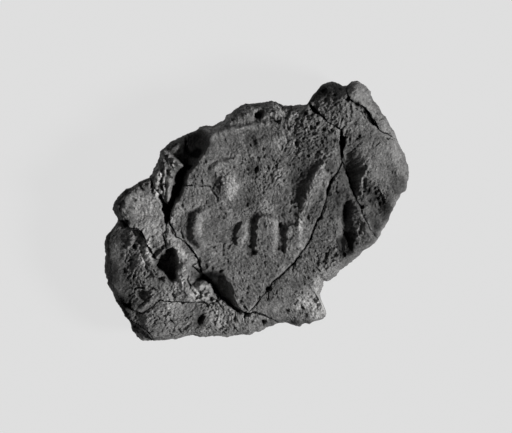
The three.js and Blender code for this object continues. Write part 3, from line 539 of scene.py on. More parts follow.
# Small pits: x, y, two radii, turn, depth
PITS = [
    (267.3, 288.2, 2.9, 3.1, 0, 1.8), (361.8, 207, 2.4, 1.8, 0, 0.9), (133, 199.5, 3, 3, 0, 0.4),
    (122, 206, 3.5, 4.5, 0, 0.25), (129, 207, 1.6, 1.6, 0, 0.3), (134, 207.5, 1.6, 1.8, 0, 0.3),
    (134.5, 276, 1.7, 1.9, 0, 0.45), (142, 251.5, 1.8, 1.8, 0, 0.35), (129, 295, 1.6, 1.3, 0, 0.4),
    (148, 287, 2.2, 1.6, 0, 0.5), (144.5, 273, 1.2, 2.5, 0, 0.35), (148, 276, 2.5, 1.5, -30, 0.35),
    (127, 265, 3, 4, 0, 0.3), (196.5, 297.5, 1.9, 1.7, 0, 0.5), (211.5, 299, 3, 3.2, 0, 0.9),
    (207.5, 305, 1.7, 1.7, 0, 0.5), (183, 302, 2.8, 1.3, 0, 0.5), (163, 316, 2, 1.3, 0, 0.3),
    (179, 332, 2.6, 1.8, 0, 0.35), (186.5, 317, 1.6, 1.4, 0, 0.3), (178, 329, 1.6, 1.2, 0, 0.3),
    (212.5, 310, 1.6, 1.4, 0, 0.3), (234, 321, 3, 3, 0, 0.3), (251.5, 322, 2, 2, 0, 0.4),
    (248.3, 314.5, 1.7, 2, 0, 0.8), (240.5, 301.5, 2.4, 1.4, 10, 0.5), (234, 304, 4, 3, 30, 0.35),
    (251, 138, 1.8, 1.8, 0, 0.35), (250, 144.5, 1.3, 1.5, 0, 0.3), (262.7, 148.5, 1.8, 2, 0, 0.45),
    (258, 157, 1.3, 1.8, 0, 0.3), (241.5, 163, 1.6, 2.2, 20, 0.25), (231, 154, 1.5, 1.8, 0, 0.2),
    (221, 184, 1.7, 1.7, 0, 0.3), (219, 177, 2, 1.6, 0, 0.25), (212, 247, 1.7, 1.6, 0, 0.3),
    (294, 207.5, 1.6, 1.3, 0, 0.35), (298, 207.3, 1.5, 1.3, 0, 0.35),
    (311, 223, 1.6, 1.7, 0, 0.45), (282, 215, 1.5, 2.5, 0, 0.25), (287, 221, 1.5, 2, 0, 0.25),
    (264, 262, 1.6, 2, 0, 0.25), (232.5, 277, 1.5, 1.5, 0, 0.25), (266, 248.5, 2, 1.6, 0, 0.25),
    (279, 248, 2.4, 1.7, 0, 0.5), (274.5, 248.5, 1.5, 1.2, 0, 0.3), (283, 250, 2, 1.5, 0, 0.3),
    (294, 109, 3.4, 2.6, 20, 1.0), (290, 112, 1.3, 1.4, 0, 0.6), (305, 113.5, 2.8, 2.6, 0, 0.6),
    (312.5, 115, 1.4, 1.4, 0, 0.6), (317.5, 124.5, 1.8, 2.3, -20, 0.9),
    (310.5, 128, 1.8, 2.4, 0, 0.8), (323, 130, 2.6, 2.2, 0, 0.8), (331, 131, 1.4, 1.8, 0, 0.6),
    (313.5, 134, 2.8, 2.3, 0, 0.5), (297, 143, 2, 2.4, 0, 0.9), (305, 128, 1.6, 1.3, 0, 0.4),
    (300, 127, 1.5, 1.3, 0, 0.4), (315, 155, 4.5, 4, 0, 0.5), (307.5, 156, 2, 2.6, 0, 0.45),
    (324, 138, 1.8, 1.6, 0, 0.4), (316, 138, 1.6, 1.6, 0, 0.35), (323.5, 158, 1.7, 1.8, 0, 0.4),
    (326, 171, 2.6, 2.6, 0, 0.6), (331, 173, 1.3, 1.3, 0, 0.35), (322, 183, 2, 2.6, 0, 0.35),
    (335.5, 187.5, 1.5, 1.5, 0, 0.3), (336, 192, 1.6, 1.4, 0, 0.35),
    (337, 214.5, 2.2, 1.8, 0, 0.4), (330, 217, 1.4, 1.4, 0, 0.3), (316.5, 256, 1.6, 1.6, 0, 0.3),
    (325, 256, 2.2, 3.4, 20, 0.4), (323, 261.5, 1.7, 1.7, 0, 0.4), (334.5, 254.5, 2, 1.8, 0, 0.45),
    (333, 247, 1.7, 1.7, 0, 0.35), (338, 249.5, 1.3, 1.3, 0, 0.5), (332, 261, 1.4, 1.4, 0, 0.35),
    (336, 262, 1.4, 1.8, 0, 0.35), (340, 261, 1.3, 1.3, 0, 0.35),
    (303.5, 276.5, 1.5, 1.8, 0, 0.35), (308, 277, 1.3, 1.3, 0, 0.35),
    (303.5, 283, 1.4, 2.2, 0, 0.3), (301.5, 291.5, 1, 2.2, 0, 0.35), (302, 307.5, 2.5, 2, 0, 1.0),
    (287, 310, 2.6, 1.5, 0, 0.7), (317, 305, 1.4, 2.1, 20, 0.5), (314, 299.5, 2, 1.8, 0, 0.5),
    (309, 304, 1.4, 1.6, 0, 0.4), (304.5, 315.5, 2.6, 2.2, -40, 0.5), (310, 311, 1.3, 1.8, 0, 0.3),
    (322.5, 282.5, 1.5, 2, 0, 0.35), (321.5, 275, 1.5, 2, 0, 0.35),
    (325.5, 269.5, 1.8, 1.6, 0, 0.35), (317.5, 286.5, 1.3, 1.8, 0, 0.3),
    (320, 309, 1.2, 2, 0, 0.3), (338.8, 106.5, 1.2, 1.8, 0, 0.4), (334, 106, 2.2, 1.3, -30, 0.4),
    (336, 96, 2.2, 1.3, 0, 0.4), (359, 111.5, 1.4, 1.8, 0, 0.7), (364, 117.5, 1.5, 2, 0, 0.8),
    (357.5, 104, 1.3, 2, 0, 0.5), (354, 105, 2, 1.4, 0, 0.5), (363, 100, 1.6, 1.2, 0, 0.3),
    (368.5, 101.5, 1.6, 1.6, 0, 0.3), (377, 112.5, 1.3, 2.2, 0, 0.3), (381, 118, 1.4, 1.8, 0, 0.3),
    (346, 117, 1.3, 1.3, 0, 0.3), (356, 139, 1.6, 1.4, 0, 0.45), (358.2, 137, 1.5, 1.6, 0, 0.55),
    (349, 139, 1.6, 2.2, 0, 0.35), (388.5, 137.8, 2.2, 1.8, 0, 0.8), (389, 171, 3.5, 3, 0, 0.3),
    (394, 176, 5, 4, 0, 0.2), (402, 183, 3, 4.5, 0, 0.35), (406.5, 173, 1.4, 1.8, 0, 0.3),
    (400.5, 159, 1.4, 1.4, 0, 0.25), (368, 191, 1.6, 2.6, 0, 0.45), (374, 188, 1.7, 1.7, 0, 0.4),
    (373, 192.5, 3.2, 1.6, 0, 0.5), (375.5, 198.5, 4.5, 3, 20, 0.6),
    (379.5, 204, 2.6, 5, -10, 0.6), (363, 192, 1.7, 1.4, 0, 0.5), (358.8, 194, 2, 1.2, -20, 0.35),
    (387, 203, 1.7, 1.5, 0, 0.6), (379, 212.5, 1.3, 2.2, 0, 0.3), (383, 220, 1.4, 2.2, 0, 0.3),
    (374.5, 226, 1.5, 2.3, 0, 0.5), (381.5, 226, 1.5, 2, 20, 0.4), (376.5, 233, 2.1, 1.6, 0, 0.6),
    (355, 243, 3.2, 3, 0, 0.5), (353.5, 234, 1.3, 2.2, 0, 0.35), (358, 231.5, 1.4, 2.2, -30, 0.35),
    (359.8, 236, 1.4, 1.8, 0, 0.35), (366, 235.5, 1.5, 1.5, 0, 0.4), (362, 241, 1.4, 1.2, 0, 0.35),
    (367.5, 245, 1.6, 1.2, 0, 0.3), (371.5, 237, 1.3, 1.5, 0, 0.35),
    (245.5, 114.5, 1.3, 1.3, 0, 0.25), (223, 127, 1.6, 1.6, 0, 0.25),
    (232, 119, 1.8, 1.2, 0, 0.25), (193, 263, 1.2, 1.2, 0, 0.2), (205, 265, 3, 3, 0, 0.3),
    (212, 267, 2.4, 1.8, 0, 0.35), (220.5, 271, 2, 1.3, 0, 0.45), (187, 271, 2.5, 2, 0, 0.2),
    (195, 273.5, 1.7, 1.6, 0, 0.3), (179, 227, 1.3, 1.1, 0, 0.25), (207, 203, 1.3, 2, 0, 0.2),
    (206, 162, 1.4, 1.8, 0, 0.25),
]

# How crumbly the clay is: what it has everywhere, its least and most, and more or less of it
# by place: x, y, two radii, turn, amount
USUAL_CRUMBLE = 0.6
CRUMBLE_RANGE = (0.12, 2)
CRUMBLE = [
    (318, 128, 32, 34, 0, 0.8), (262, 175, 18, 22, 0, 0.5), (355, 235, 14, 16, 0, 0.5),
    (330, 258, 26, 10, -25, 0.8), (376, 198, 16, 16, 0, 0.5), (138, 262, 20, 32, 0, 0.15),
    (160, 172, 16, 34, 0, 0.6), (216, 304, 20, 11, 30, 0.7), (308, 306, 20, 16, 0, 0.5),
    (200, 322, 66, 14, 0, 0.35), (290, 118, 22, 14, 0, 0.6), (300, 210, 16, 16, 0, 0.2),
    (148, 212, 17, 24, 0, -0.4), (215, 232, 16, 13, 0, -0.4), (176, 308, 16, 6, 0, -0.2),
    (380, 160, 18, 24, 0, -0.15), (114, 270, 12, 34, 0, -0.45), (202, 145, 16, 18, 0, -0.3),
    (225, 145, 20, 12, -20, -0.2), (348, 230, 10, 26, 0, -0.1), (220, 283, 14, 12, 0, -0.4),
]

# Paler and darker clay, with painted shade in the dents, the fissure and on the knob's unlit face,
# and painted light where higher parts cast shadow: x, y, two radii, turn, how much
STAINS_AND_PAINTED_SHADING = [
    (148, 211, 17, 24, -5, 0.9), (152, 233, 12, 12, 0, 0.6), (184, 255, 13, 22, -40, 0.4),
    (186, 285, 10, 18, 0, 0.5), (203, 290, 10, 11, 0, 1.6), (146, 251, 8, 18, -8, 1.2),
    (132, 264, 6, 8, 0, 0.4), (137, 235, 6, 7, 0, 0.4), (180, 326, 70, 14, 0, 0.25),
    (172, 309, 14, 9, 0, 0.5), (157, 329, 9, 6, 0, -0.25), (220, 314, 15, 14, 0, 0.35),
    (221, 318, 6, 9, 0, 0.35), (178, 164, 7, 5, 0, 0.6), (175, 151, 8, 6, -40, 2),
    (163, 184, 10, 16, 0, 1), (158, 163, 6, 14, 20, 0.4), (168, 190, 6, 18, 0, 0.4),
    (141, 204, 11, 14, 0, 0.35), (160, 236, 7, 13, 0, 0.3), (171, 234, 7, 12, -20, 0.6),
    (134, 236, 8, 7, 0, 0.35), (180, 260, 7, 12, 0, 1.5), (180, 282, 6, 11, 0, 1.8),
    (184, 242, 8, 5, 0, 0.3), (168, 299, 7, 11, 0, 0.7), (176, 213, 6, 13, 0, 1),
    (196, 204, 14, 8, 0, 0.3), (215, 243, 7, 6, 0, 0.35), (230, 183, 8, 15, 0, 1),
    (200, 226, 4, 11, 0, 0.6), (274, 234, 4, 16, 0, 0.35), (269, 226, 4, 10, 0, 0.35),
    (236, 219, 6, 5, 0, 0.35), (245, 230, 3, 12, 8, 0.3), (316, 184, 7, 22, 25, 0.3),
    (328, 274, 26, 12, -35, 0.3), (304, 298, 16, 8, -40, 0.7), (318, 309, 10, 12, 0, 1.4),
    (315, 286, 5, 8, 0, 0.4), (361, 259, 13, 6, -35, 0.5), (349, 265, 12, 5, -30, -0.3),
    (362, 93, 12, 10, 30, 0.25), (388, 128, 8, 22, -25, 0.25), (400, 142, 7, 14, 0, 0.25),
    (220, 123, 18, 7, -24, 1), (248, 126, 16, 4, -10, 0.2), (276, 112, 11, 7, 0, 0.7),
    (298, 116, 8, 11, 0, 0.9), (284, 146, 13, 9, 0, 0.45), (281, 174, 7, 9, 0, 0.5),
    (266, 207, 9, 9, 0, 0.25), (302, 212, 4, 18, 8, 0.35), (298, 230, 5, 14, 0, 0.35),
    (321, 160, 4, 8, 0, 0.6), (237, 290, 9, 9, 0, 0.25), (253, 315, 7, 8, 0, 0.6),
    (365, 162, 6, 9, 0, 0.4), (360, 184, 4, 14, 15, 0.35), (360, 222, 5, 9, 0, 0.3),
    (336, 126, 7, 9, 0, 0.2), (350, 112, 8, 9, 0, 0.25), (328, 104, 6, 5, 0, 0.35),
    (300, 252, 10, 12, 0, 0.15), (331, 86, 22, 9, 0, -0.6), (318, 94, 11, 7, -20, -0.6),
    (303, 323, 14, 4, 0, -0.45), (278, 100.5, 16, 3, 0, -0.5), (198, 142, 13, 17, 0, -0.6),
    (188, 160, 14, 11, -30, -0.6), (178, 183, 8, 16, 20, -0.5), (349, 172, 8, 18, -15, -0.3),
    (348, 232, 7, 25, 0, -0.45), (301, 172, 9, 16, 30, -0.35), (211, 280, 18, 11, 30, -0.55),
    (201, 277, 10, 5, 0, -0.4), (167, 265, 12, 16, -24, -0.2), (111, 238, 8, 13, 0, -0.6),
    (110, 266, 8, 30, 0, -0.3), (121, 282, 10, 24, -10, -0.6), (116, 210, 5, 18, 0, -0.35),
    (126, 308, 10, 12, 0, -0.6), (129, 322, 5, 14, -30, -0.6), (199, 321, 9, 9, 0, -0.55),
    (253, 142, 8, 12, 0, -0.4), (254, 170, 8, 11, 0, -0.35), (249, 196, 9, 11, 0, -0.35),
    (212, 174, 4, 15, 0, -0.35), (192, 222, 4, 9, 20, -0.3), (285, 217, 6, 10, 0, -0.3),
    (316, 197, 4, 10, 15, -0.25), (312, 150, 12, 10, 0, -0.2), (325, 146, 7, 18, 10, -0.5),
    (340, 150, 4, 9, 0, -0.4), (326, 212, 14, 22, 0, -0.2), (313, 218, 5, 9, 0, -0.2),
    (342, 156, 4, 16, 0, -0.25), (334, 190, 8, 20, 10, -0.15), (343, 203, 8, 18, 0, -0.45),
    (330, 167, 4, 6, 0, -0.35), (341, 245, 5, 12, 0, -0.6), (366, 188, 4, 8, 0, -0.45),
    (350, 258, 20, 7, -32, -0.2), (298, 283, 7, 6, 0, -0.3), (265, 303, 18, 8, -30, -0.12),
    (276, 323, 14, 5, 0, -0.4), (163, 338, 14, 4, 0, -0.35), (381, 108, 5, 12, -30, -0.3),
    (192, 272, 5, 9, 0, -0.45), (187, 248, 3.5, 10, -35, -0.4), (252, 254, 5, 4, 0, -0.4),
    (268, 280, 16, 12, 0, -0.15), (349, 192, 5, 10, 0, -0.35), (360, 204, 6, 8, 0, -0.35),
    (386, 212, 6, 12, 0, -0.3), (297, 219, 5, 12, 0, 0.3), (216, 274, 10, 4, 0, -0.4),
    (312, 272, 6, 14, 20, -0.3), (400, 186, 8, 10, 0, -0.5), (380, 210, 12, 22, 20, -0.5),
    (372, 232, 9, 12, 20, -0.3), (372, 193, 6, 11, 0, -0.35), (357, 138, 7, 6, 0, -0.25),
    (150, 308, 8, 4, -20, -0.25), (330, 258, 20, 7, -25, -0.1), (252, 137, 8, 8, 0, -0.15),
    (255, 172, 7, 12, 0, -0.15), (252, 205, 7, 8, 0, -0.15), (293, 183, 6, 8, 0, -0.2),
    (330, 167, 5, 7, 0, -0.25), (357, 145, 6, 8, 0, -0.2), (367, 186, 5, 10, 0, -0.15),
    (346, 248, 15, 14, 0, -0.18), (318, 252, 8, 8, 0, -0.15), (298, 282, 6, 6, 0, -0.15),
    (200, 319, 9, 8, 0, -0.2), (252, 260, 6, 6, 0, -0.2), (196, 221, 8, 5, -40, -0.25),
    (176, 238, 4, 5, 0, -0.3), (188, 250, 3, 9, -35, -0.2), (190, 275, 4, 10, 0, -0.3),
    (157, 264, 4, 8, -20, -0.3), (160, 235, 7, 8, 0, 0.4), (146, 251, 5, 9, 0, 0.3),
    (135, 258, 6, 8, 0, 0.3), (128, 240, 8, 9, 0, 0.25), (121, 212, 10, 6, 0, 0.3),
    (172, 213, 5, 10, 0, 0.35), (190, 211, 9, 4, 0, 0.2), (166, 166, 10, 14, 0, 0.3),
    (200, 178, 15, 12, 0, 0.15), (225, 175, 12, 15, 0, 0.2), (282, 178, 5, 9, 0, 0.35),
    (268, 212, 7, 14, 0, 0.2), (296, 226, 7, 12, 0, 0.25), (309, 188, 4, 20, 22, 0.25),
    (322, 163, 4, 10, 20, 0.2), (215, 251, 22, 11, 0, 0.12), (180, 282, 5, 8, 0, 0.4),
    (237, 288, 11, 13, 0, 0.15), (327, 268, 8, 8, 0, 0.3), (316, 311, 6, 9, 0, 0.2),
    (317, 288, 8, 12, 0, 0.25), (235, 312, 13, 11, 0, 0.15), (170, 310, 10, 8, 0, 0.25),
    (146, 321, 7, 6, 0, 0.25), (302, 109, 7, 8, 0, 0.6), (270, 110, 10, 6, 0, 0.2),
    (328, 107, 6, 8, 0, 0.2), (211, 130, 14, 6, -10, 0.5), (384, 190, 6, 8, 0, 0.25),
    (396, 155, 5, 16, -15, 0.2),
]

# Noise that makes the forms uneven: strength, size in pixels, seed. The strays get their seeds
# where they are used, and the edge has three sizes of noise.
STRAY = (0.7, 8)
FINE_STRAY = (0.45, 2.8)
EDGE_WOBBLE = (0.35, 5, 11, 3)
EDGE_INSET = 0.3
HOLLOW_WOBBLE = (0.4, 3.5, 112)
WALL_EASE = 1.3
GROOVE_WOBBLE = (0.5, 3, 111)
GROOVE_BREAKS = (0.45, 4.5, 113)
PIT_WOBBLE = (0.4, 2.2, 114)
PATCH_WOBBLE = (0.22, 6, 121)
CRACK_WOBBLE = (0.35, 2.5, 211)

# Ridges narrower than this are broken up: pixels, wobble and breaks
FINE_RIDGE = 3.4
RIDGE_WOBBLE = (0.4, 3, 115)
RIDGE_BREAKS = (0.5, 4, 116)
RIDGE_LOSS = 0.35

# Painted shade in the forms: how much darker the clay is painted per form, where the form is this
# deep or deeper
PAINTED_SHADE_DEPTH = 0.4
HOLLOW_PAINTED_SHADE = 0.12
GROOVE_PAINTED_SHADE = 0.25
PIT_PAINTED_SHADE = 0.25
LIP_PAINTED_SHADE = 0.1

# Lips of the through cracks: pixels that they reach, crack width with a full lip, the least
# share of one, then depth or strength and pixels of its fall, for rounding, chips and a painted
# highlight
LIP_REACH = 7
FULL_LIP_WIDTH = 3
LEAST_LIP_SHARE = 0.25
LIP_ROUNDING = (0.22, 1.1)
LIP_CHIPS = (0.35, 2.2)
LIP_PAINTED_HIGHLIGHT = (0.25, 1.8)
CHIP_NOISE = (1, 3.2, 131)
CHIP_THRESHOLD = 0.1

# Grain of the face: height or strength, size in pixels, seed. Layered noise has its number of
# sizes and what each finer one keeps, spots have the share of places with one. Where a share
# comes first, it is what clay that isn't crumbly has.
SWELLS = (0.06, 16, 21, 2)
RIPPLES = (0.3, 0.03, 6, 24)
FINE_GRAIN = (0.5, 0.04, 2.2, 31, 2, 0.9)
GRIT = (0.15, 0.09, 3.2, 41, 0.5)
PORES = (0.15, 0.11, 3, 42, 0.5)
HOLES = (1, 7, 43, 0.35)
HOLES_FROM_CRUMBLE = 0.45
MOST_HOLES = 1.2
DOTS = (1, 3.6, 44, 0.3)
DOT_DRIFTS = (0.5, 13, 45)
HOLE_DEPTH = 0.2
DOT_DEPTH = 0.2
# Painted shade in the grain's holes and dots: how much darker they are painted
HOLE_PAINTED_SHADE = 0.12
DOT_PAINTED_SHADE = 0.55
PALE_FLECKS = (0.25, 0.7, 3.4, 49, 0.3)
SHADE_GRAIN = (0.28, 1.6, 46)
SHADE_MOTTLE = (0.14, 3.3, 47)
SHADE_DRIFTS = (0.1, 9, 48)

# Relief and shade of the side, listed the same way. Its swells are least at the belly, where
# they would change the outline, and grow over a height in millimetres.
SIDE_SWELLS = (1, 26, 51, 3, 0.6)
BELLY_SWELL = 0.02
SIDE_SWELL = 0.2
SWELL_GROWTH = 2
SIDE_GRAIN = (0.055, 5, 56, 3, 0.8)
SIDE_PITS = (0.15, 8, 61, 0.5)
SIDE_DRIFTS = (0.16, 9, 62)
SIDE_MOTTLE = (0.16, 3, 63)
SIDE_SPECKS = (0.26, 1.6, 64)
SIDE_DOTS = (0.5, 4, 65, 0.35)
SIDE_FLECKS = (0.45, 4, 66, 0.35)
SIDE_BLEND = 0.7
FOOT_BLEND = 0.3

# Cracks as ribbons: pixels past each end, pixels between places, heights of the upper rings and
# of the lower ones, which lie further apart, the least half width, and how they narrow from one
# depth to another
RIBBON_OVERRUN = 1.5
RIBBON_STEP = 1.1
UPPER_RINGS = np.linspace(11, 5.2, 18)
LOWER_RINGS = np.linspace(4.8, -1, 9)
LEAST_HALF_WIDTH = 0.3
NARROWS_BY = 0.75
NARROWS_FROM = 4
NARROWS_OVER = 24

# How cracks stray below the face: full stray from this many pixels down, slant, lean, noise
FULL_DRIFT_DEPTH = 12
DRIFT_SLANT = 0.4
DRIFT_LEAN = 0.06
DRIFT = (1.8, 16)
FINE_DRIFT = (0.35, 5)

# Shade of the back, painted shade of the cracks' walls, and the angle from which an edge looks
# sharp
BACK_SHADE = 0.9
WALL_PAINTED_SHADE = 0.75
SHARP_EDGE = math.radians(55)

# Clay's and paper's colours, and how much of the paper's brightness the camera sees as its own
DARK_CLAY = (0.075, 0.074, 0.073, 1)
PALE_CLAY = (0.22, 0.218, 0.215, 1)
PAPER = (0.737, 0.737, 0.737, 1)
PAPER_GLOW = 0.95

# Lamps: name, side of the image, elevation in degrees, strength, spread in degrees
LAMPS = (
    ("key", (1, 0.25), 36, 4.95, 14),
    ("fill", (-1, -0.3), 35, 0.1, 40),
)
SKY_STRENGTH = 0.027


# Noise. Each use of it has a seed of its own, so that no two patterns are alike.

LATTICE = 256


def lattice(seed):
    return np.random.default_rng(seed).random((LATTICE, LATTICE)) * 2 - 1


def noise(x, y, size, seed):
    """Smooth noise from -1 to 1 whose bumps are about size pixels wide."""
    table = lattice(seed)
    x, y = x / size, y / size
    i, j = np.floor(x).astype(int), np.floor(y).astype(int)
    u, v = x - i, y - j
    u, v = u * u * (3 - 2 * u), v * v * (3 - 2 * v)
    i, j, i1, j1 = (n % LATTICE for n in (i, j, i + 1, j + 1))
    low = table[i, j] * (1 - u) + table[i1, j] * u
    high = table[i, j1] * (1 - u) + table[i1, j1] * u
    return low * (1 - v) + high * v


def rough(x, y, size, seed, octaves=4, keep=0.55):
    """Several sizes of noise, each half as wide as the last and turned against it."""
    first_turn = 0.7
    total, weight = 0, 1
    for octave in range(octaves):
        turn = first_turn + octave
        u = x * math.cos(turn) - y * math.sin(turn)
        v = x * math.sin(turn) + y * math.cos(turn)
        total = total + weight * noise(u, v, size / 2**octave, seed + octave)
        weight *= keep
    return total


def speckle(x, y, size, seed, share):
    """Round spots from 0 to 1 at random places, in about that share of cells of the size."""
    least, spread, faintest = 0.25, 0.5, 0.4
    random = np.random.default_rng(seed).random((5, LATTICE, LATTICE))
    i, j = np.floor(x / size).astype(int), np.floor(y / size).astype(int)
    best = np.zeros(x.shape)
    for di in (-1, 0, 1):
        for dj in (-1, 0, 1):
            a, b = (i + di) % LATTICE, (j + dj) % LATTICE
            cx, cy = (i + di + random[0, a, b]) * size, (j + dj + random[1, a, b]) * size
            radius = size * (least + spread * random[2, a, b] ** 2)
            spot = bump(np.hypot(x - cx, y - cy) / radius)
            spot = spot * (faintest + (1 - faintest) * random[4, a, b])
            best = np.maximum(best, np.where(random[3, a, b] < share, spot, 0))
    return best


def layer(kind, x, y, row):
    """One kind of noise from a row that starts with its strength."""
    return row[0] * kind(x, y, *row[1:])


def wander(x, y):
    """How far the edges of forms and cracks stray from their paths, in pixels along x and y."""
    sway = layer(noise, x, y, (*STRAY, 101)) + layer(noise, x, y, (*FINE_STRAY, 102))
    nod = layer(noise, x, y, (*STRAY, 103)) + layer(noise, x, y, (*FINE_STRAY, 104))
    return sway, nod


# Profiles and distances in the plane

def bump(distance):
    """1 in the middle, 0 from the edge out."""
    return np.where(distance < 1, (1 - np.minimum(distance, 1) ** 2) ** 2, 0)


def ease(t):
    """From 0 to 1 with a soft start and end."""
    t = np.clip(t, 0, 1)
    return t * t * (3 - 2 * t)


def to_path(x, y, path):
    """Distance to a line through points, and the points' third number there."""
    path = np.array(path, float)
    third = path[:, 2] if path.shape[1] > 2 else np.zeros(len(path))
    nearest, value = np.full(x.shape, np.inf), np.zeros(x.shape)
    for a, b, start, end in zip(path[:-1], path[1:], third[:-1], third[1:]):
        dx, dy = b[0] - a[0], b[1] - a[1]
        t = np.clip(((x - a[0]) * dx + (y - a[1]) * dy) / (dx * dx + dy * dy), 0, 1)
        gap = np.hypot(x - a[0] - t * dx, y - a[1] - t * dy)
        closer = gap < nearest
        nearest = np.where(closer, gap, nearest)
        value = np.where(closer, start + t * (end - start), value)
    return nearest, value


def within(x, y, polygon):
    inside = np.zeros(x.shape, bool)
    for (ax, ay), (bx, by) in zip(polygon, polygon[1:] + polygon[:1]):
        if ay != by:
            crosses = (ay > y) != (by > y)
            inside ^= crosses & (x < ax + (y - ay) * (bx - ax) / (by - ay))
    return inside


def oval(x, y, at, radii, turn):
    """Distance from an oval's middle, 1 on its edge."""
    c, s = math.cos(math.radians(turn)), math.sin(math.radians(turn))
    u, v = x - at[0], y - at[1]
    return np.hypot((u * c + v * s) / radii[0], (v * c - u * s) / radii[1])


def polar(radius, angle):
    """Place in pixels at a distance and an angle from the lump's centre."""
    return CENTRE[0] + radius * np.cos(angle), CENTRE[1] + radius * np.sin(angle)


def from_centre(x, y):
    """Distance and angle from the lump's centre."""
    return np.hypot(x - CENTRE[0], y - CENTRE[1]), np.arctan2(y - CENTRE[1], x - CENTRE[0])


# Outline and placing

def smooth_loop(points, per_span=6):
    """Closed curve through the points."""
    p = np.array(points, float)
    before, after, beyond = np.roll(p, 1, 0), np.roll(p, -1, 0), np.roll(p, -2, 0)
    t = np.linspace(0, 1, per_span, endpoint=False)[None, :, None]
    p, before, after, beyond = (a[:, None, :] for a in (p, before, after, beyond))
    curve = 2 * p + (after - before) * t
    curve = curve + (2 * before - 5 * p + 4 * after - beyond) * t**2
    curve = curve + (3 * p - before - 3 * after + beyond) * t**3
    return (curve / 2).reshape(-1, 2)


outline = smooth_loop(OUTLINE)
long_span = (outline @ ALONG).min(), (outline @ ALONG).max()
wide_span = (outline @ ACROSS).min(), (outline @ ACROSS).max()
LONG_SCALE = LUMP_LENGTH / (long_span[1] - long_span[0])
WIDE_SCALE = LUMP_WIDTH / (wide_span[1] - wide_span[0])
PIXEL = (LONG_SCALE + WIDE_SCALE) / 2
REACH = SHOULDER_REACH / PIXEL
INSET = FOOT_INSET / PIXEL

edge_radii, edge_angles = from_centre(outline[:, 0], outline[:, 1])
edge_order = np.argsort(edge_angles)
edge_radii, edge_angles = edge_radii[edge_order], edge_angles[edge_order]


def place(x, y):
    """Millimetres on the lump of a place in pixels."""
    u = x * ALONG[0] + y * ALONG[1] - sum(long_span) / 2
    v = x * ACROSS[0] + y * ACROSS[1] - sum(wide_span) / 2
    return u * LONG_SCALE, v * WIDE_SCALE


def pixel_at(x, y):
    """Place in pixels of millimetres on the lump."""
    u = x / LONG_SCALE + sum(long_span) / 2
    v = y / WIDE_SCALE + sum(wide_span) / 2
    return u * ALONG[0] + v * ACROSS[0], u * ALONG[1] + v * ACROSS[1]


def drawn_radius(angle):
    return np.interp(angle, edge_angles, edge_radii, period=2 * math.pi)


def edge_radius(angle):
    """Distance from the centre to the widest ring, with its fine unevenness."""
    radius = drawn_radius(angle)
    x, y = radius * np.cos(angle), radius * np.sin(angle)
    return radius + layer(rough, x, y, EDGE_WOBBLE) - EDGE_INSET


def base_radius(angle):
    """Distance from the centre to the base's ring before its inset: the outline, smoothed off."""
    turns = np.linspace(-BASE_SMOOTHING, BASE_SMOOTHING, BASE_SAMPLES)
    around = sum(drawn_radius(angle + turn) for turn in turns)
    return np.minimum(edge_radius(angle), around / len(turns))


# Which fragment each place belongs to: each spreads from its own place until it meets a crack

def region_axes():
    return np.arange(*FACE_COLUMNS, REGION_CELL), np.arange(*FACE_ROWS, REGION_CELL)


def grown(region, open_places):
    """Lets each fragment grow into its empty neighbours until nothing changes."""
    before = -1
    while (region >= 0).sum() != before:
        before = (region >= 0).sum()
        for axis, shift in ((0, 1), (0, -1), (1, 1), (1, -1)):
            near = np.roll(region, shift, axis)
            region = np.where((region < 0) & open_places, near, region)
    return region


def region_map():
    """Number of the fragment at each cell, grown up to the cracks first and then over them."""
    xs, ys = region_axes()
    x, y = np.meshgrid(xs, ys)
    wall = np.zeros(x.shape, bool)
    for path in CRACKS.values():
        wall |= to_path(x, y, path)[0] < CRACK_WALL * REGION_CELL
    region = np.full(x.shape, -1)
    for number, (at, _) in enumerate(FRAGMENTS.values()):
        row, column = (at[1] - ys[0]) / REGION_CELL, (at[0] - xs[0]) / REGION_CELL
        region[int(row), int(column)] = number
    radius, angle = from_centre(x, y)
    inside = radius < edge_radius(angle) + REGION_OVERLAP
    region = grown(region, inside & ~wall)
    return grown(region, np.ones(x.shape, bool))


regions = region_map()


def fragment_at(x, y):
    i = np.clip(((y - FACE_ROWS[0]) / REGION_CELL + 0.5).astype(int), 0, regions.shape[0] - 1)
    j = np.clip(((x - FACE_COLUMNS[0]) / REGION_CELL + 0.5).astype(int), 0, regions.shape[1] - 1)
    return regions[i, j]


# Broad forms

def valley_share(x, y, bend, steep_share, long_bank, steep_bank):
    """How far down a valley the places are, as a share of its depth."""
    from_long, from_steep = to_path(x, y, long_bank)[0], to_path(x, y, steep_bank)[0]
    across = from_long / np.maximum(from_long + from_steep, 1e-6)
    fall = np.minimum(across / (1 - steep_share), 1) ** bend
    down = np.minimum(fall, ease((1 - across) / steep_share))
    return np.where(within(x, y, long_bank + steep_bank[::-1]), down, 0)


def blurred(raster, spread):
    """The raster with its values spread over about that many cells."""
    reach = int(3 * spread) + 1
    weights = np.exp(-0.5 * (np.arange(-reach, reach + 1) / spread) ** 2)
    weights /= weights.sum()
    for axis in (0, 1):
        raster = np.apply_along_axis(np.convolve, axis, raster, weights, "same")
    return raster


def sample(raster, x, y):
    """The raster's value at places in pixels, blended between its cells."""
    margin = 1.001
    u = np.clip((x - FACE_COLUMNS[0]) / REGION_CELL, 0, raster.shape[1] - margin)
    v = np.clip((y - FACE_ROWS[0]) / REGION_CELL, 0, raster.shape[0] - margin)
    i, j = v.astype(int), u.astype(int)
    v, u = v - i, u - j
    upper = raster[i, j] * (1 - u) + raster[i, j + 1] * u
    lower = raster[i + 1, j] * (1 - u) + raster[i + 1, j + 1] * u
    return upper * (1 - v) + lower * v


def valley_map():
    """How deep the valleys are over the whole face."""
    x, y = np.meshgrid(*region_axes())
    total = np.zeros(x.shape)
    for depth, softness, *valley in VALLEYS.values():
        total += depth * blurred(valley_share(x, y, *valley), softness / REGION_CELL)
    return total


valleys = valley_map()


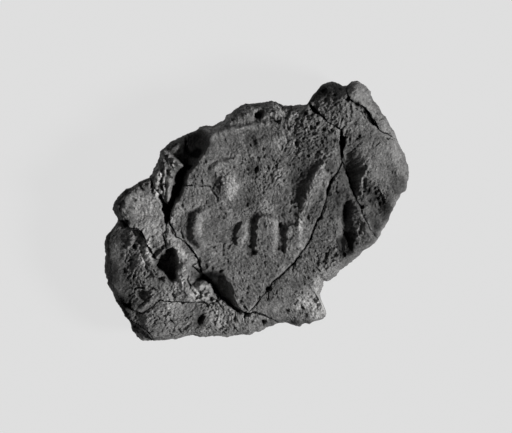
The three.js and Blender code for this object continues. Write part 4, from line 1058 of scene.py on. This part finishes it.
def spot_sums(x, y, spots):
    """Sums of the spot heights and of their weights, which fall with distance."""
    total, weights = 0, 0
    for sx, sy, share in spots:
        weight = 1 / (1 + ((x - sx) ** 2 + (y - sy) ** 2) / SPOT_SPREAD**2) ** 2
        total, weights = total + weight * share, weights + weight
    return total, weights


def broad_height(x, y, number):
    """Height of the numbered fragments before the relief, with the knob and the valleys."""
    height = np.zeros(x.shape)
    for i, (_, spots) in enumerate(FRAGMENTS.values()):
        mine = number == i
        total, weights = spot_sums(x[mine], y[mine], spots)
        height[mine] = FACE_HEIGHT * total / weights
    knob_x, knob_y, long, short, turn, rise = KNOB
    height += rise * bump(oval(x, y, (knob_x, knob_y), (long, short), turn))
    return height - sample(valleys, x, y)


# Relief

class Surface:
    """Heights over the spot heights, and how pale the clay is painted, painted shade and light
    included, at places in pixels. The grain has places of its own, so that it isn't stretched down
    the side."""

    def __init__(self, x, y, gx, gy):
        self.x, self.y, self.gx, self.gy = (a.ravel() for a in (x, y, gx, gy))
        self.h = np.zeros(self.x.shape)
        self.shade = np.ones(self.x.shape)
        self.crumbly = np.full(self.x.shape, USUAL_CRUMBLE)

    def near(self, path, margin):
        """The places round a path, so that only these are worked on."""
        p = np.array(path, float)
        lo, hi = p.min(0) - margin, p.max(0) + margin
        hit = (self.x > lo[0]) & (self.x < hi[0]) & (self.y > lo[1]) & (self.y < hi[1])
        i = np.nonzero(hit)[0]
        return i, self.x[i], self.y[i]

    def add(self, i, amount, painted_shade=0.0):
        self.h[i] += amount
        # Painted shade: the deeper a place is cut, the darker its colour
        self.shade[i] *= 1 - painted_shade * np.clip(-amount / PAINTED_SHADE_DEPTH, 0, 1)

    def hollow(self, depth, wall, polygon):
        i, x, y = self.near(polygon, 1)
        inside = within(x, y, polygon)
        i, x, y = i[inside], x[inside], y[inside]
        gap = to_path(x, y, polygon + polygon[:1])[0] * (1 + layer(noise, x, y, HOLLOW_WOBBLE))
        self.add(i, -depth * ease(gap / (WALL_EASE * wall)), HOLLOW_PAINTED_SHADE)

    def ridge(self, half, rise, path):
        i, x, y = self.near(path, half)
        broken = np.clip(2 * (FINE_RIDGE - half), 0, 1)
        width = half * (1 + broken * layer(noise, x, y, RIDGE_WOBBLE))
        keep = 1 - broken * (RIDGE_LOSS - layer(noise, x, y, RIDGE_BREAKS))
        self.add(i, rise * keep * bump(to_path(x, y, path)[0] / width))

    def mound(self, x, y, long, short, turn, rise):
        i, px, py = self.near([(x, y)], max(long, short))
        self.add(i, rise * bump(oval(px, py, (x, y), (long, short), turn)))

    def groove(self, half, depth, path):
        i, x, y = self.near(path, half + 1)
        width = half * (1 + layer(noise, x, y, GROOVE_WOBBLE))
        keep = 1 - GROOVE_BREAKS[0] + layer(noise, x, y, GROOVE_BREAKS)
        slope = 1 - np.clip(to_path(x, y, path)[0] / width, 0, 1)
        self.add(i, -depth * keep * slope, GROOVE_PAINTED_SHADE)

    def pit(self, x, y, long, short, turn, depth):
        edge, wall, fill, reach = 1.25, 1.1, 0.6, 1.3
        i, px, py = self.near([(x, y)], reach * max(long, short))
        gap = oval(px, py, (x, y), (long, short), turn)
        gap = gap * (1 + layer(noise, px, py, PIT_WOBBLE))
        self.add(i, -fill * depth * ease((edge - gap) / wall), PIT_PAINTED_SHADE)

    def patch(self, values, x, y, long, short, turn, amount):
        """An oval of more or less of something, with a soft and uneven edge."""
        edge, fade, reach = 1.3, 0.7, 1.4
        i, px, py = self.near([(x, y)], reach * max(long, short))
        gap = oval(px, py, (x, y), (long, short), turn)
        gap = gap + layer(noise, px, py, PATCH_WOBBLE)
        values[i] += amount * ease((edge - gap) / fade)

    def crack_lips(self):
        """Edges of the through cracks, rounded off and chipped, with painted shade in the chips
        and a painted highlight along them.
        """
        for path in CRACKS.values():
            i, x, y = self.near([p[:2] for p in path], LIP_REACH)
            gap, width = to_path(x, y, path)
            away = np.maximum(gap - width / 2, 0)
            wide = np.clip(width / FULL_LIP_WIDTH, LEAST_LIP_SHARE, 1)
            chips = np.maximum(layer(noise, x, y, CHIP_NOISE) - CHIP_THRESHOLD, 0)
            rounding, chipping, painted_highlight = (
                strength * np.exp(-away / fall)
                for strength, fall in (LIP_ROUNDING, LIP_CHIPS, LIP_PAINTED_HIGHLIGHT)
            )
            self.add(i, wide * (-rounding - chipping * chips), LIP_PAINTED_SHADE)
            # Painted highlight: the crack's edges are painted paler, as if catching the light
            self.shade[i] *= 1 + painted_highlight

    def by_crumble(self, kind, row):
        """Noise that is stronger in crumbly clay, from a row that starts with its calm share."""
        return layer(kind, self.gx, self.gy, row[1:]) * (row[0] + self.crumbly)

    def grain(self):
        x, y = self.gx, self.gy
        self.crumbly = np.clip(self.crumbly, *CRUMBLE_RANGE)
        self.h += layer(rough, x, y, SWELLS) + self.by_crumble(noise, RIPPLES)
        self.h += self.by_crumble(rough, FINE_GRAIN)
        self.h += self.by_crumble(speckle, GRIT)
        self.h -= self.by_crumble(speckle, PORES)
        holes = layer(speckle, x, y, HOLES)
        holes = holes * np.clip(self.crumbly - HOLES_FROM_CRUMBLE, 0, MOST_HOLES)
        dots = layer(speckle, x, y, DOTS)
        dots = dots * np.clip(self.crumbly + layer(noise, x, y, DOT_DRIFTS), 0, 1)
        self.h -= HOLE_DEPTH * holes + DOT_DEPTH * dots
        # Painted shade: the holes and dots are painted darker
        self.shade *= (1 - HOLE_PAINTED_SHADE * holes) * (1 - DOT_PAINTED_SHADE * dots)
        self.shade *= 1 + self.by_crumble(speckle, PALE_FLECKS)
        self.shade *= 1 + layer(noise, x, y, SHADE_GRAIN) + layer(noise, x, y, SHADE_MOTTLE)
        self.shade *= 1 + layer(noise, x, y, SHADE_DRIFTS)

    def build(self):
        forms = (
            (self.hollow, HOLLOWS.values()),
            (self.ridge, RIDGES),
            (self.mound, MOUNDS),
            (self.groove, GROOVES),
            (self.pit, PITS),
        )
        for form, rows in forms:
            for row in rows:
                form(*row)
        for row in CRUMBLE:
            self.patch(self.crumbly, *row)
        # Stains, painted shade and painted light, all multiplied into the shade
        for row in STAINS_AND_PAINTED_SHADING:
            self.patch(self.shade, *row)
        self.crack_lips()
        self.grain()
        return self.h, self.shade


# The closed lump

def grid():
    """Angle and distance from the centre over a grid mapped onto the lump's round."""
    a, b = np.meshgrid(np.linspace(-1, 1, LONG_CELLS + 1), np.linspace(-1, 1, WIDE_CELLS + 1))
    wide = np.abs(a) >= np.abs(b)
    safe_a, safe_b = np.where(a == 0, 1, a), np.where(b == 0, 1, b)
    r = np.where(wide, a, b)
    turn = np.where(wide, b / safe_a, 2 - a / safe_b) * math.pi / 4
    u, v = r * np.cos(turn), r * np.sin(turn)
    long_half, wide_half = (long_span[1] - long_span[0]) / 2, (wide_span[1] - wide_span[0]) / 2
    dx = long_half * u * ALONG[0] + wide_half * v * ACROSS[0]
    dy = long_half * u * ALONG[1] + wide_half * v * ACROSS[1]
    angle = np.arctan2(dy, dx)
    edge = edge_radius(angle)
    return angle, edge, np.hypot(u, v) * (edge - REACH + SHOULDER_WRAP + FOOT_WRAP)


def bare_surface(angle, edge, radius):
    """Each grid point's place in pixels and height before the relief, and the way it faces."""
    over = radius - (edge - REACH)
    under = over > SHOULDER_WRAP
    turn = np.clip(1 - over / SHOULDER_WRAP, 0, 1) * math.pi / 2
    foot = np.clip((over - SHOULDER_WRAP) / FOOT_WRAP, 0, 1) * FOOT_TURN
    power = 2 / (SHOULDER_SQUARENESS - RIGHT_ROUNDNESS * np.cos(angle))
    shoulder_inset = REACH * (1 - np.cos(turn) ** power)
    foot_inset = INSET * (1 - np.cos(foot)) / (1 - math.cos(FOOT_TURN))
    foot_inset = foot_inset + (edge - base_radius(angle)) * ease(BASE_BLEND * foot / FOOT_TURN)
    plan = np.where(over <= 0, radius, edge - np.where(under, foot_inset, shoulder_inset))
    x, y = polar(plan, angle)
    sway, nod = wander(x, y)
    number = fragment_at(x + sway, y + nod)
    above = broad_height(x + sway, y + nod, number)
    inner_x, inner_y = polar(np.minimum(radius, edge - REACH), angle)
    inside = broad_height(inner_x + sway, inner_y + nod, number)
    shoulder = BELLY_HEIGHT + (inside - BELLY_HEIGHT) * np.sin(turn) ** power
    down = BELLY_HEIGHT * (1 - np.sin(foot) / math.sin(FOOT_TURN))
    z = np.where(over <= 0, above, np.where(under, down, np.minimum(shoulder, above)))
    return x, y, z, np.where(under, -foot, turn)


def grain_places(x, y, z, climb, angle, edge):
    """Places for the grain that go on outwards over the side, so that it isn't stretched."""
    plan = from_centre(x, y)[0]
    along = np.where(climb < 0, 2 * edge - plan, plan)
    return polar(along + np.maximum(FACE_HEIGHT - z, 0) / PIXEL, angle)


def side_relief(gx, gy, z):
    """Heights over the smooth side."""
    away = ease(np.abs(z - BELLY_HEIGHT) / SWELL_GROWTH)
    side = (BELLY_SWELL + SIDE_SWELL * away) * layer(rough, gx, gy, SIDE_SWELLS)
    return side + layer(rough, gx, gy, SIDE_GRAIN) - layer(speckle, gx, gy, SIDE_PITS)


def side_shade(gx, gy):
    """How pale the side is."""
    dusty = 1 + layer(noise, gx, gy, SIDE_DRIFTS) + layer(noise, gx, gy, SIDE_MOTTLE)
    dusty = dusty * (1 + layer(noise, gx, gy, SIDE_SPECKS))
    dusty = dusty * (1 - layer(speckle, gx, gy, SIDE_DOTS))
    return dusty * (1 + layer(speckle, gx, gy, SIDE_FLECKS))


def lump_surface():
    """The grid's points in millimetres, flat on the ground at its rim, and their shades."""
    angle, edge, radius = grid()
    x, y, z, climb = bare_surface(angle, edge, radius)
    gx, gy = grain_places(x, y, z, climb, angle, edge)
    sway, nod = wander(x, y)
    h, shade = (a.reshape(x.shape) for a in Surface(x + sway, y + nod, gx, gy).build())
    belly = ease((SIDE_BLEND - climb) / SIDE_BLEND)
    shade = shade * (1 - belly) + side_shade(gx, gy) * belly
    h = h * (1 - belly) + side_relief(gx, gy, z) * belly
    h = h * ease((climb + FOOT_TURN) / FOOT_BLEND)
    out = h * np.cos(climb) / PIXEL
    mx, my = place(x + out * np.cos(angle), y + out * np.sin(angle))
    points = np.stack([mx, my, z + h * np.sin(climb)], 2)
    rim = np.zeros(x.shape, bool)
    rim[[0, -1]] = True
    rim[:, [0, -1]] = True
    points[:, :, 2] = np.where(rim, 0, np.maximum(points[:, :, 2], LEAST_HEIGHT))
    return points, shade


def rim_loop(index):
    """Numbers of the points round the grid, each once."""
    sides = index[0, :-1], index[:-1, -1], index[-1, :0:-1], index[:0:-1, 0]
    return np.concatenate(sides)


def back_depth(x, y):
    """Height of the back over the ground, with the marks of strings, knot and backing."""
    z = np.zeros(x.shape)
    bow = STRING_BOW * (1 - (2 * y / LUMP_WIDTH) ** 2)
    for side in (-1, 1):
        off = np.abs(x - side * (STRING_SPACING / 2 + bow))
        arch = np.sqrt(np.maximum(STRING_RADIUS**2 - off**2, 0))
        z = np.maximum(z, STRING_DEPTH - STRING_RADIUS + arch)
    dome = np.sqrt(np.maximum(KNOT_RADIUS**2 - x**2 - (y - KNOT_OFFSET) ** 2, 0))
    z = np.maximum(z, KNOT_DEPTH - KNOT_RADIUS + dome)
    fibres = FIBRE_DEPTH * (1 + noise(x * FIBRE_STRETCH, y, FIBRE_WIDTH, 71))
    fibres = fibres + WEAVE_DEPTH * (1 + noise(x, y, WEAVE_SIZE, 72))
    return z + fibres


def back_grid(rim):
    """Even points in millimetres inside the rim."""
    lo, hi = rim.min(0), rim.max(0)
    gx, gy = np.meshgrid(np.arange(lo[0], hi[0], BACK_CELL), np.arange(lo[1], hi[1], BACK_CELL))
    gx, gy = gx.ravel(), gy.ravel()
    radius, angle = from_centre(*pixel_at(gx, gy))
    inside = radius < base_radius(angle) - INSET - BACK_MARGIN
    return np.stack([gx[inside], gy[inside]], 1)


def facing_down(corners, faces):
    a, b, c = corners[faces[:, 0]], corners[faces[:, 1]], corners[faces[:, 2]]
    area = (b[:, 0] - a[:, 0]) * (c[:, 1] - a[:, 1]) - (b[:, 1] - a[:, 1]) * (c[:, 0] - a[:, 0])
    return np.where(area[:, None] > 0, faces[:, ::-1], faces)


def back_surface(rim):
    """New points of the back inside the rim, and its triangles by number, the rim's first."""
    count = len(rim)
    flat = [Vector(p) for p in np.concatenate([rim, back_grid(rim)])]
    sides = [(i, (i + 1) % count) for i in range(count)]
    inside_only, nearness = 1, 1e-9
    made = delaunay_2d_cdt(flat, sides, [], inside_only, nearness)
    corners = np.array([tuple(v) for v in made[0]])
    sources = np.array([min(s) if s else -1 for s in made[3]])
    faces = facing_down(corners, np.array([tuple(f) for f in made[2]]))
    new = (sources < 0) | (sources >= count)
    numbers = np.where(new, count + np.cumsum(new) - 1, sources)
    fresh = corners[new]
    depth = back_depth(fresh[:, 0], fresh[:, 1])
    return np.stack([fresh[:, 0], fresh[:, 1], depth], 1), numbers[faces]


def lump_mesh():
    """Points, faces and shades of the closed lump before the cracks."""
    points, shade = lump_surface()
    index = np.arange(shade.size).reshape(shade.shape)
    quads = np.stack([index[:-1, :-1], index[:-1, 1:], index[1:, 1:], index[1:, :-1]], 2)
    quads = quads.reshape(-1, 4)
    loop = rim_loop(index)
    flat = points.reshape(-1, 3)
    fresh, triangles = back_surface(flat[loop, :2])
    numbers = np.concatenate([loop, len(flat) + np.arange(len(fresh))])
    triangles = numbers[triangles]
    everything = np.concatenate([flat, fresh])
    shades = np.concatenate([shade.ravel(), np.full(len(fresh), BACK_SHADE)])
    return everything, [tuple(q) for q in quads] + [tuple(t) for t in triangles], shades


# Cracks as closed ribbons

def crack_shift(x, y, below):
    """How far a crack strays at a depth in pixels. All cracks stray alike, so that they meet."""
    sway, nod = wander(x, y)
    deep = min(max(below / FULL_DRIFT_DEPTH, 0), 1)
    u, v = x + DRIFT_SLANT * below, y - DRIFT_SLANT * below
    right = layer(noise, u, v, (*DRIFT, 201)) + layer(noise, u, v, (*FINE_DRIFT, 202))
    down = layer(noise, u, v, (*DRIFT, 203)) + layer(noise, u, v, (*FINE_DRIFT, 204))
    return deep * right + DRIFT_LEAN * max(below, 0) - sway, deep * down - nod


def crack_line(path):
    """Even places along a crack that runs on past both ends: x, y and width."""
    path = np.array(path, float)
    first, last = path[0] - path[1], path[-1] - path[-2]
    first = first / np.hypot(*first[:2]) * RIBBON_OVERRUN
    last = last / np.hypot(*last[:2]) * RIBBON_OVERRUN
    first[2] = last[2] = 0
    path = np.concatenate([[path[0] + first], path, [path[-1] + last]])
    along = np.concatenate([[0], np.cumsum(np.hypot(*np.diff(path[:, :2], axis=0).T))])
    at = np.arange(0, along[-1], RIBBON_STEP)
    x, y, width = (np.interp(at, along, path[:, i]) for i in range(3))
    third = np.ones(3) / 3
    x[1:-1], y[1:-1] = np.convolve(x, third, "valid"), np.convolve(y, third, "valid")
    return x, y, width


def ribbon_rings(x, y, width):
    """The crack's plan at each level, from over the face to under the back."""
    slant = 0.5
    tx, ty = np.gradient(x), np.gradient(y)
    length = np.hypot(tx, ty)
    nx, ny = -ty / length, tx / length
    for level in np.concatenate([UPPER_RINGS, LOWER_RINGS]):
        below = (FACE_HEIGHT - level) / PIXEL
        half = width / 2 * (1 + layer(noise, x + slant * below, y, CRACK_WOBBLE))
        half = half * (1 - NARROWS_BY * ease((below - NARROWS_FROM) / NARROWS_OVER))
        half = np.maximum(half, LEAST_HALF_WIDTH)
        left = np.stack([x + nx * half, y + ny * half], 1)
        right = np.stack([x - nx * half, y - ny * half], 1)
        ring = np.concatenate([left, right[::-1]])
        shift_x, shift_y = crack_shift(ring[:, 0], ring[:, 1], below)
        mx, my = place(ring[:, 0] + shift_x, ring[:, 1] + shift_y)
        yield np.stack([mx, my, np.full(len(ring), level)], 1)


def ribbon_faces(ring_count, count):
    """Quads round the ribbon and over its two ends, where each ring has count points."""
    faces = []
    for r in range(ring_count - 1):
        for i in range(count):
            j = (i + 1) % count
            faces.append((r * count + i, r * count + j, (r + 1) * count + j, (r + 1) * count + i))
    last = (ring_count - 1) * count
    for a in range(count // 2 - 1):
        b = count - 1 - a
        faces.append((a, b, b - 1, a + 1))
        faces.append((last + a, last + a + 1, last + b - 1, last + b))
    return faces


def ribbon_mesh(path):
    rings = list(ribbon_rings(*crack_line(path)))
    points = np.concatenate(rings)
    # The crack walls are painted darker: painted shade between the fragments
    return points, ribbon_faces(len(rings), len(rings[0])), np.full(len(points), WALL_PAINTED_SHADE)


# Blender objects

def add_to_scene(name, data):
    made = bpy.data.objects.new(name, data)
    bpy.context.scene.collection.objects.link(made)
    return made


def new_object(name, points, faces, shades):
    """A closed mesh in metres that faces out, with each corner's shade."""
    mesh = bpy.data.meshes.new(name)
    mesh.from_pydata((points * MM).tolist(), [], faces)
    values = mesh.attributes.new("shade", "FLOAT", "POINT")
    values.data.foreach_set("value", shades.astype(np.float32))
    mesh.calc_loop_triangles()
    corners = np.empty(3 * len(mesh.loop_triangles), np.int32)
    mesh.loop_triangles.foreach_get("vertices", corners)
    a, b, c = (points[corners[i::3]] for i in range(3))
    if np.einsum("ij,ij->", a, np.cross(b, c)) < 0:
        mesh.flip_normals()
    return add_to_scene(name, mesh)


def cut_lump():
    """The lump with every crack cut out of it, as one object of loose bodies."""
    lump = new_object("lump", *lump_mesh())
    ribbons = []
    for path in CRACKS.values():
        ribbon = new_object("crack", *ribbon_mesh(path))
        cut = lump.modifiers.new("crack", "BOOLEAN")
        cut.operation = "DIFFERENCE"
        cut.solver = "MANIFOLD"
        cut.object = ribbon
        ribbons.append(ribbon)
    graph = bpy.context.evaluated_depsgraph_get()
    mesh = bpy.data.meshes.new_from_object(lump.evaluated_get(graph))
    for made in ribbons + [lump]:
        bpy.data.objects.remove(made)
    return add_to_scene("whole", mesh)


def loose_bodies(whole):
    for other in bpy.context.view_layer.objects:
        other.select_set(False)
    whole.select_set(True)
    bpy.context.view_layer.objects.active = whole
    bpy.ops.object.mode_set(mode="EDIT")
    bpy.ops.mesh.separate(type="LOOSE")
    bpy.ops.object.mode_set(mode="OBJECT")
    return [o for o in bpy.context.view_layer.objects if o.select_get() and o.type == "MESH"]


def upper_corners(body):
    """Where a body's corners above the belly are, seen from above, in metres."""
    corners = np.empty(len(body.data.vertices) * 3, np.float32)
    body.data.vertices.foreach_get("co", corners)
    corners = corners.reshape(-1, 3)
    return corners[corners[:, 2] > BELLY_HEIGHT * MM, :2]


def fragments():
    """Each fragment's object by name. Crumbs that the cracks leave loose are dropped."""
    bodies = loose_bodies(cut_lump())
    upper = [upper_corners(body) for body in bodies]
    chosen = {}
    for name, (at, _) in FRAGMENTS.items():
        spot = np.array(place(*at)) * MM
        gaps = [np.hypot(*(c - spot).T).min() if len(c) else math.inf for c in upper]
        chosen[name] = bodies[int(np.argmin(gaps))]
    for body in bodies:
        if body not in chosen.values():
            bpy.data.objects.remove(body)
    for name, body in chosen.items():
        body.name = body.data.name = name + "_clay"
        body.data.polygons.foreach_set("use_smooth", np.ones(len(body.data.polygons), bool))
        body.data.set_sharp_from_angle(angle=SHARP_EDGE)
    return chosen


# Materials

def new_material(name):
    material = bpy.data.materials.new(name)
    material.use_nodes = True
    return material, material.node_tree.nodes, material.node_tree.links


def clay_material():
    """Mottled grey clay, tinted by each point's shade, which holds stains and painted shade and
    light, with a fine uneven finish.
    """
    material, nodes, links = new_material("dried_clay")
    shader = nodes["Principled BSDF"]
    shader.inputs["Roughness"].default_value = 0.95
    shader.inputs["Specular IOR Level"].default_value = 0.2
    place_of = nodes.new("ShaderNodeTexCoord")

    def clouds(size, detail, roughness):
        made = nodes.new("ShaderNodeTexNoise")
        made.inputs["Scale"].default_value = 1 / (size * MM)
        made.inputs["Detail"].default_value = detail
        made.inputs["Roughness"].default_value = roughness
        links.new(place_of.outputs["Object"], made.inputs["Vector"])
        return made.outputs["Fac"]

    blend = nodes.new("ShaderNodeMix")
    blend.data_type = "FLOAT"
    blend.inputs["Factor"].default_value = 0.6
    links.new(clouds(size=1.3, detail=4, roughness=0.65), blend.inputs["A"])
    links.new(clouds(size=0.15, detail=3, roughness=0.8), blend.inputs["B"])
    ramp = nodes.new("ShaderNodeValToRGB")
    ramp.color_ramp.elements[0].position = 0.38
    ramp.color_ramp.elements[0].color = DARK_CLAY
    ramp.color_ramp.elements[1].position = 0.62
    ramp.color_ramp.elements[1].color = PALE_CLAY
    links.new(blend.outputs["Result"], ramp.inputs["Fac"])
    shade = nodes.new("ShaderNodeAttribute")
    shade.attribute_name = "shade"
    tinted = nodes.new("ShaderNodeVectorMath")
    tinted.operation = "SCALE"
    links.new(ramp.outputs["Color"], tinted.inputs["Vector"])
    links.new(shade.outputs["Fac"], tinted.inputs["Scale"])
    links.new(tinted.outputs["Vector"], shader.inputs["Base Color"])
    bumps = nodes.new("ShaderNodeBump")
    bumps.inputs["Strength"].default_value = 1
    bumps.inputs["Distance"].default_value = 0.2 * MM
    links.new(clouds(size=0.22, detail=4, roughness=0.75), bumps.inputs["Height"])
    links.new(bumps.outputs["Normal"], shader.inputs["Normal"])
    return material


def paper_material():
    """Pale paper that looks even to the camera and still holds the lump's shadow."""
    material, nodes, links = new_material("paper")
    nodes.clear()
    paper = nodes.new("ShaderNodeBsdfDiffuse")
    paper.inputs["Color"].default_value = PAPER
    glow = nodes.new("ShaderNodeEmission")
    glow.inputs["Color"].default_value = PAPER
    path = nodes.new("ShaderNodeLightPath")
    much = nodes.new("ShaderNodeMath")
    much.operation = "MULTIPLY"
    much.inputs[1].default_value = PAPER_GLOW
    links.new(path.outputs["Is Camera Ray"], much.inputs[0])
    blend = nodes.new("ShaderNodeMixShader")
    links.new(much.outputs[0], blend.inputs["Fac"])
    links.new(paper.outputs["BSDF"], blend.inputs[1])
    links.new(glow.outputs["Emission"], blend.inputs[2])
    output = nodes.new("ShaderNodeOutputMaterial")
    links.new(blend.outputs["Shader"], output.inputs["Surface"])
    return material


# Stage

def make_floor():
    half = 2.0
    mesh = bpy.data.meshes.new("floor")
    corners = [(-half, -half, 0), (half, -half, 0), (half, half, 0), (-half, half, 0)]
    mesh.from_pydata(corners, [], [(0, 1, 2, 3)])
    mesh.materials.append(paper_material())
    floor = add_to_scene("floor", mesh)
    floor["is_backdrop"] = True


def direction(x, y, elevation):
    """Unit vector towards a lamp that stands on the image's (x, y) side."""
    u, v = x * ALONG[0] + y * ALONG[1], x * ACROSS[0] + y * ACROSS[1]
    rise = math.radians(elevation)
    flat = Vector((u, v, 0)).normalized() * math.cos(rise)
    return flat + Vector((0, 0, math.sin(rise)))


def make_lights():
    distance = 0.5
    for name, side, elevation, strength, spread in LAMPS:
        light = bpy.data.lights.new(name, "SUN")
        light.energy = strength
        light.angle = math.radians(spread)
        lamp = add_to_scene(name, light)
        towards = direction(*side, elevation)
        lamp.rotation_euler = towards.to_track_quat("Z", "Y").to_euler()
        lamp.location = towards * distance
    world = bpy.data.worlds.new("studio")
    world.use_nodes = True
    background = world.node_tree.nodes["Background"]
    background.inputs["Color"].default_value = (1, 1, 1, 1)
    background.inputs["Strength"].default_value = SKY_STRENGTH
    bpy.context.scene.world = world


def make_camera():
    """A long lens straight over the face, turned and placed so that pixels match."""
    lens, sensor, clip_end, aim_share = 400, 36, 10, 0.6
    distance = lens / sensor * IMAGE_WIDTH * PIXEL * MM
    camera = bpy.data.cameras.new("camera")
    camera.lens = lens
    camera.sensor_width = sensor
    camera.clip_end = clip_end
    made = add_to_scene("camera", camera)
    x, y = place(*IMAGE_CENTRE)
    right = Vector((ALONG[0], ACROSS[0], 0))
    up = Vector((-ALONG[1], -ACROSS[1], 0))
    toward = right.cross(up)
    middle = Vector((x * MM, y * MM, aim_share * FACE_HEIGHT * MM))
    turned = Matrix((right, up, toward)).transposed().to_4x4()
    made.matrix_world = Matrix.Translation(middle + toward * distance) @ turned
    bpy.context.scene.camera = made


make_camera()
make_lights()
make_floor()
clay = clay_material()
for name, piece in fragments().items():
    piece.data.materials.clear()
    piece.data.materials.append(clay)
    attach(piece, "root")
    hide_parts(name)

bpy.context.scene.view_settings.view_transform = "Standard"
visual_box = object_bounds()
[[list(corner) for corner in box] for box in (cad_box, visual_box)]
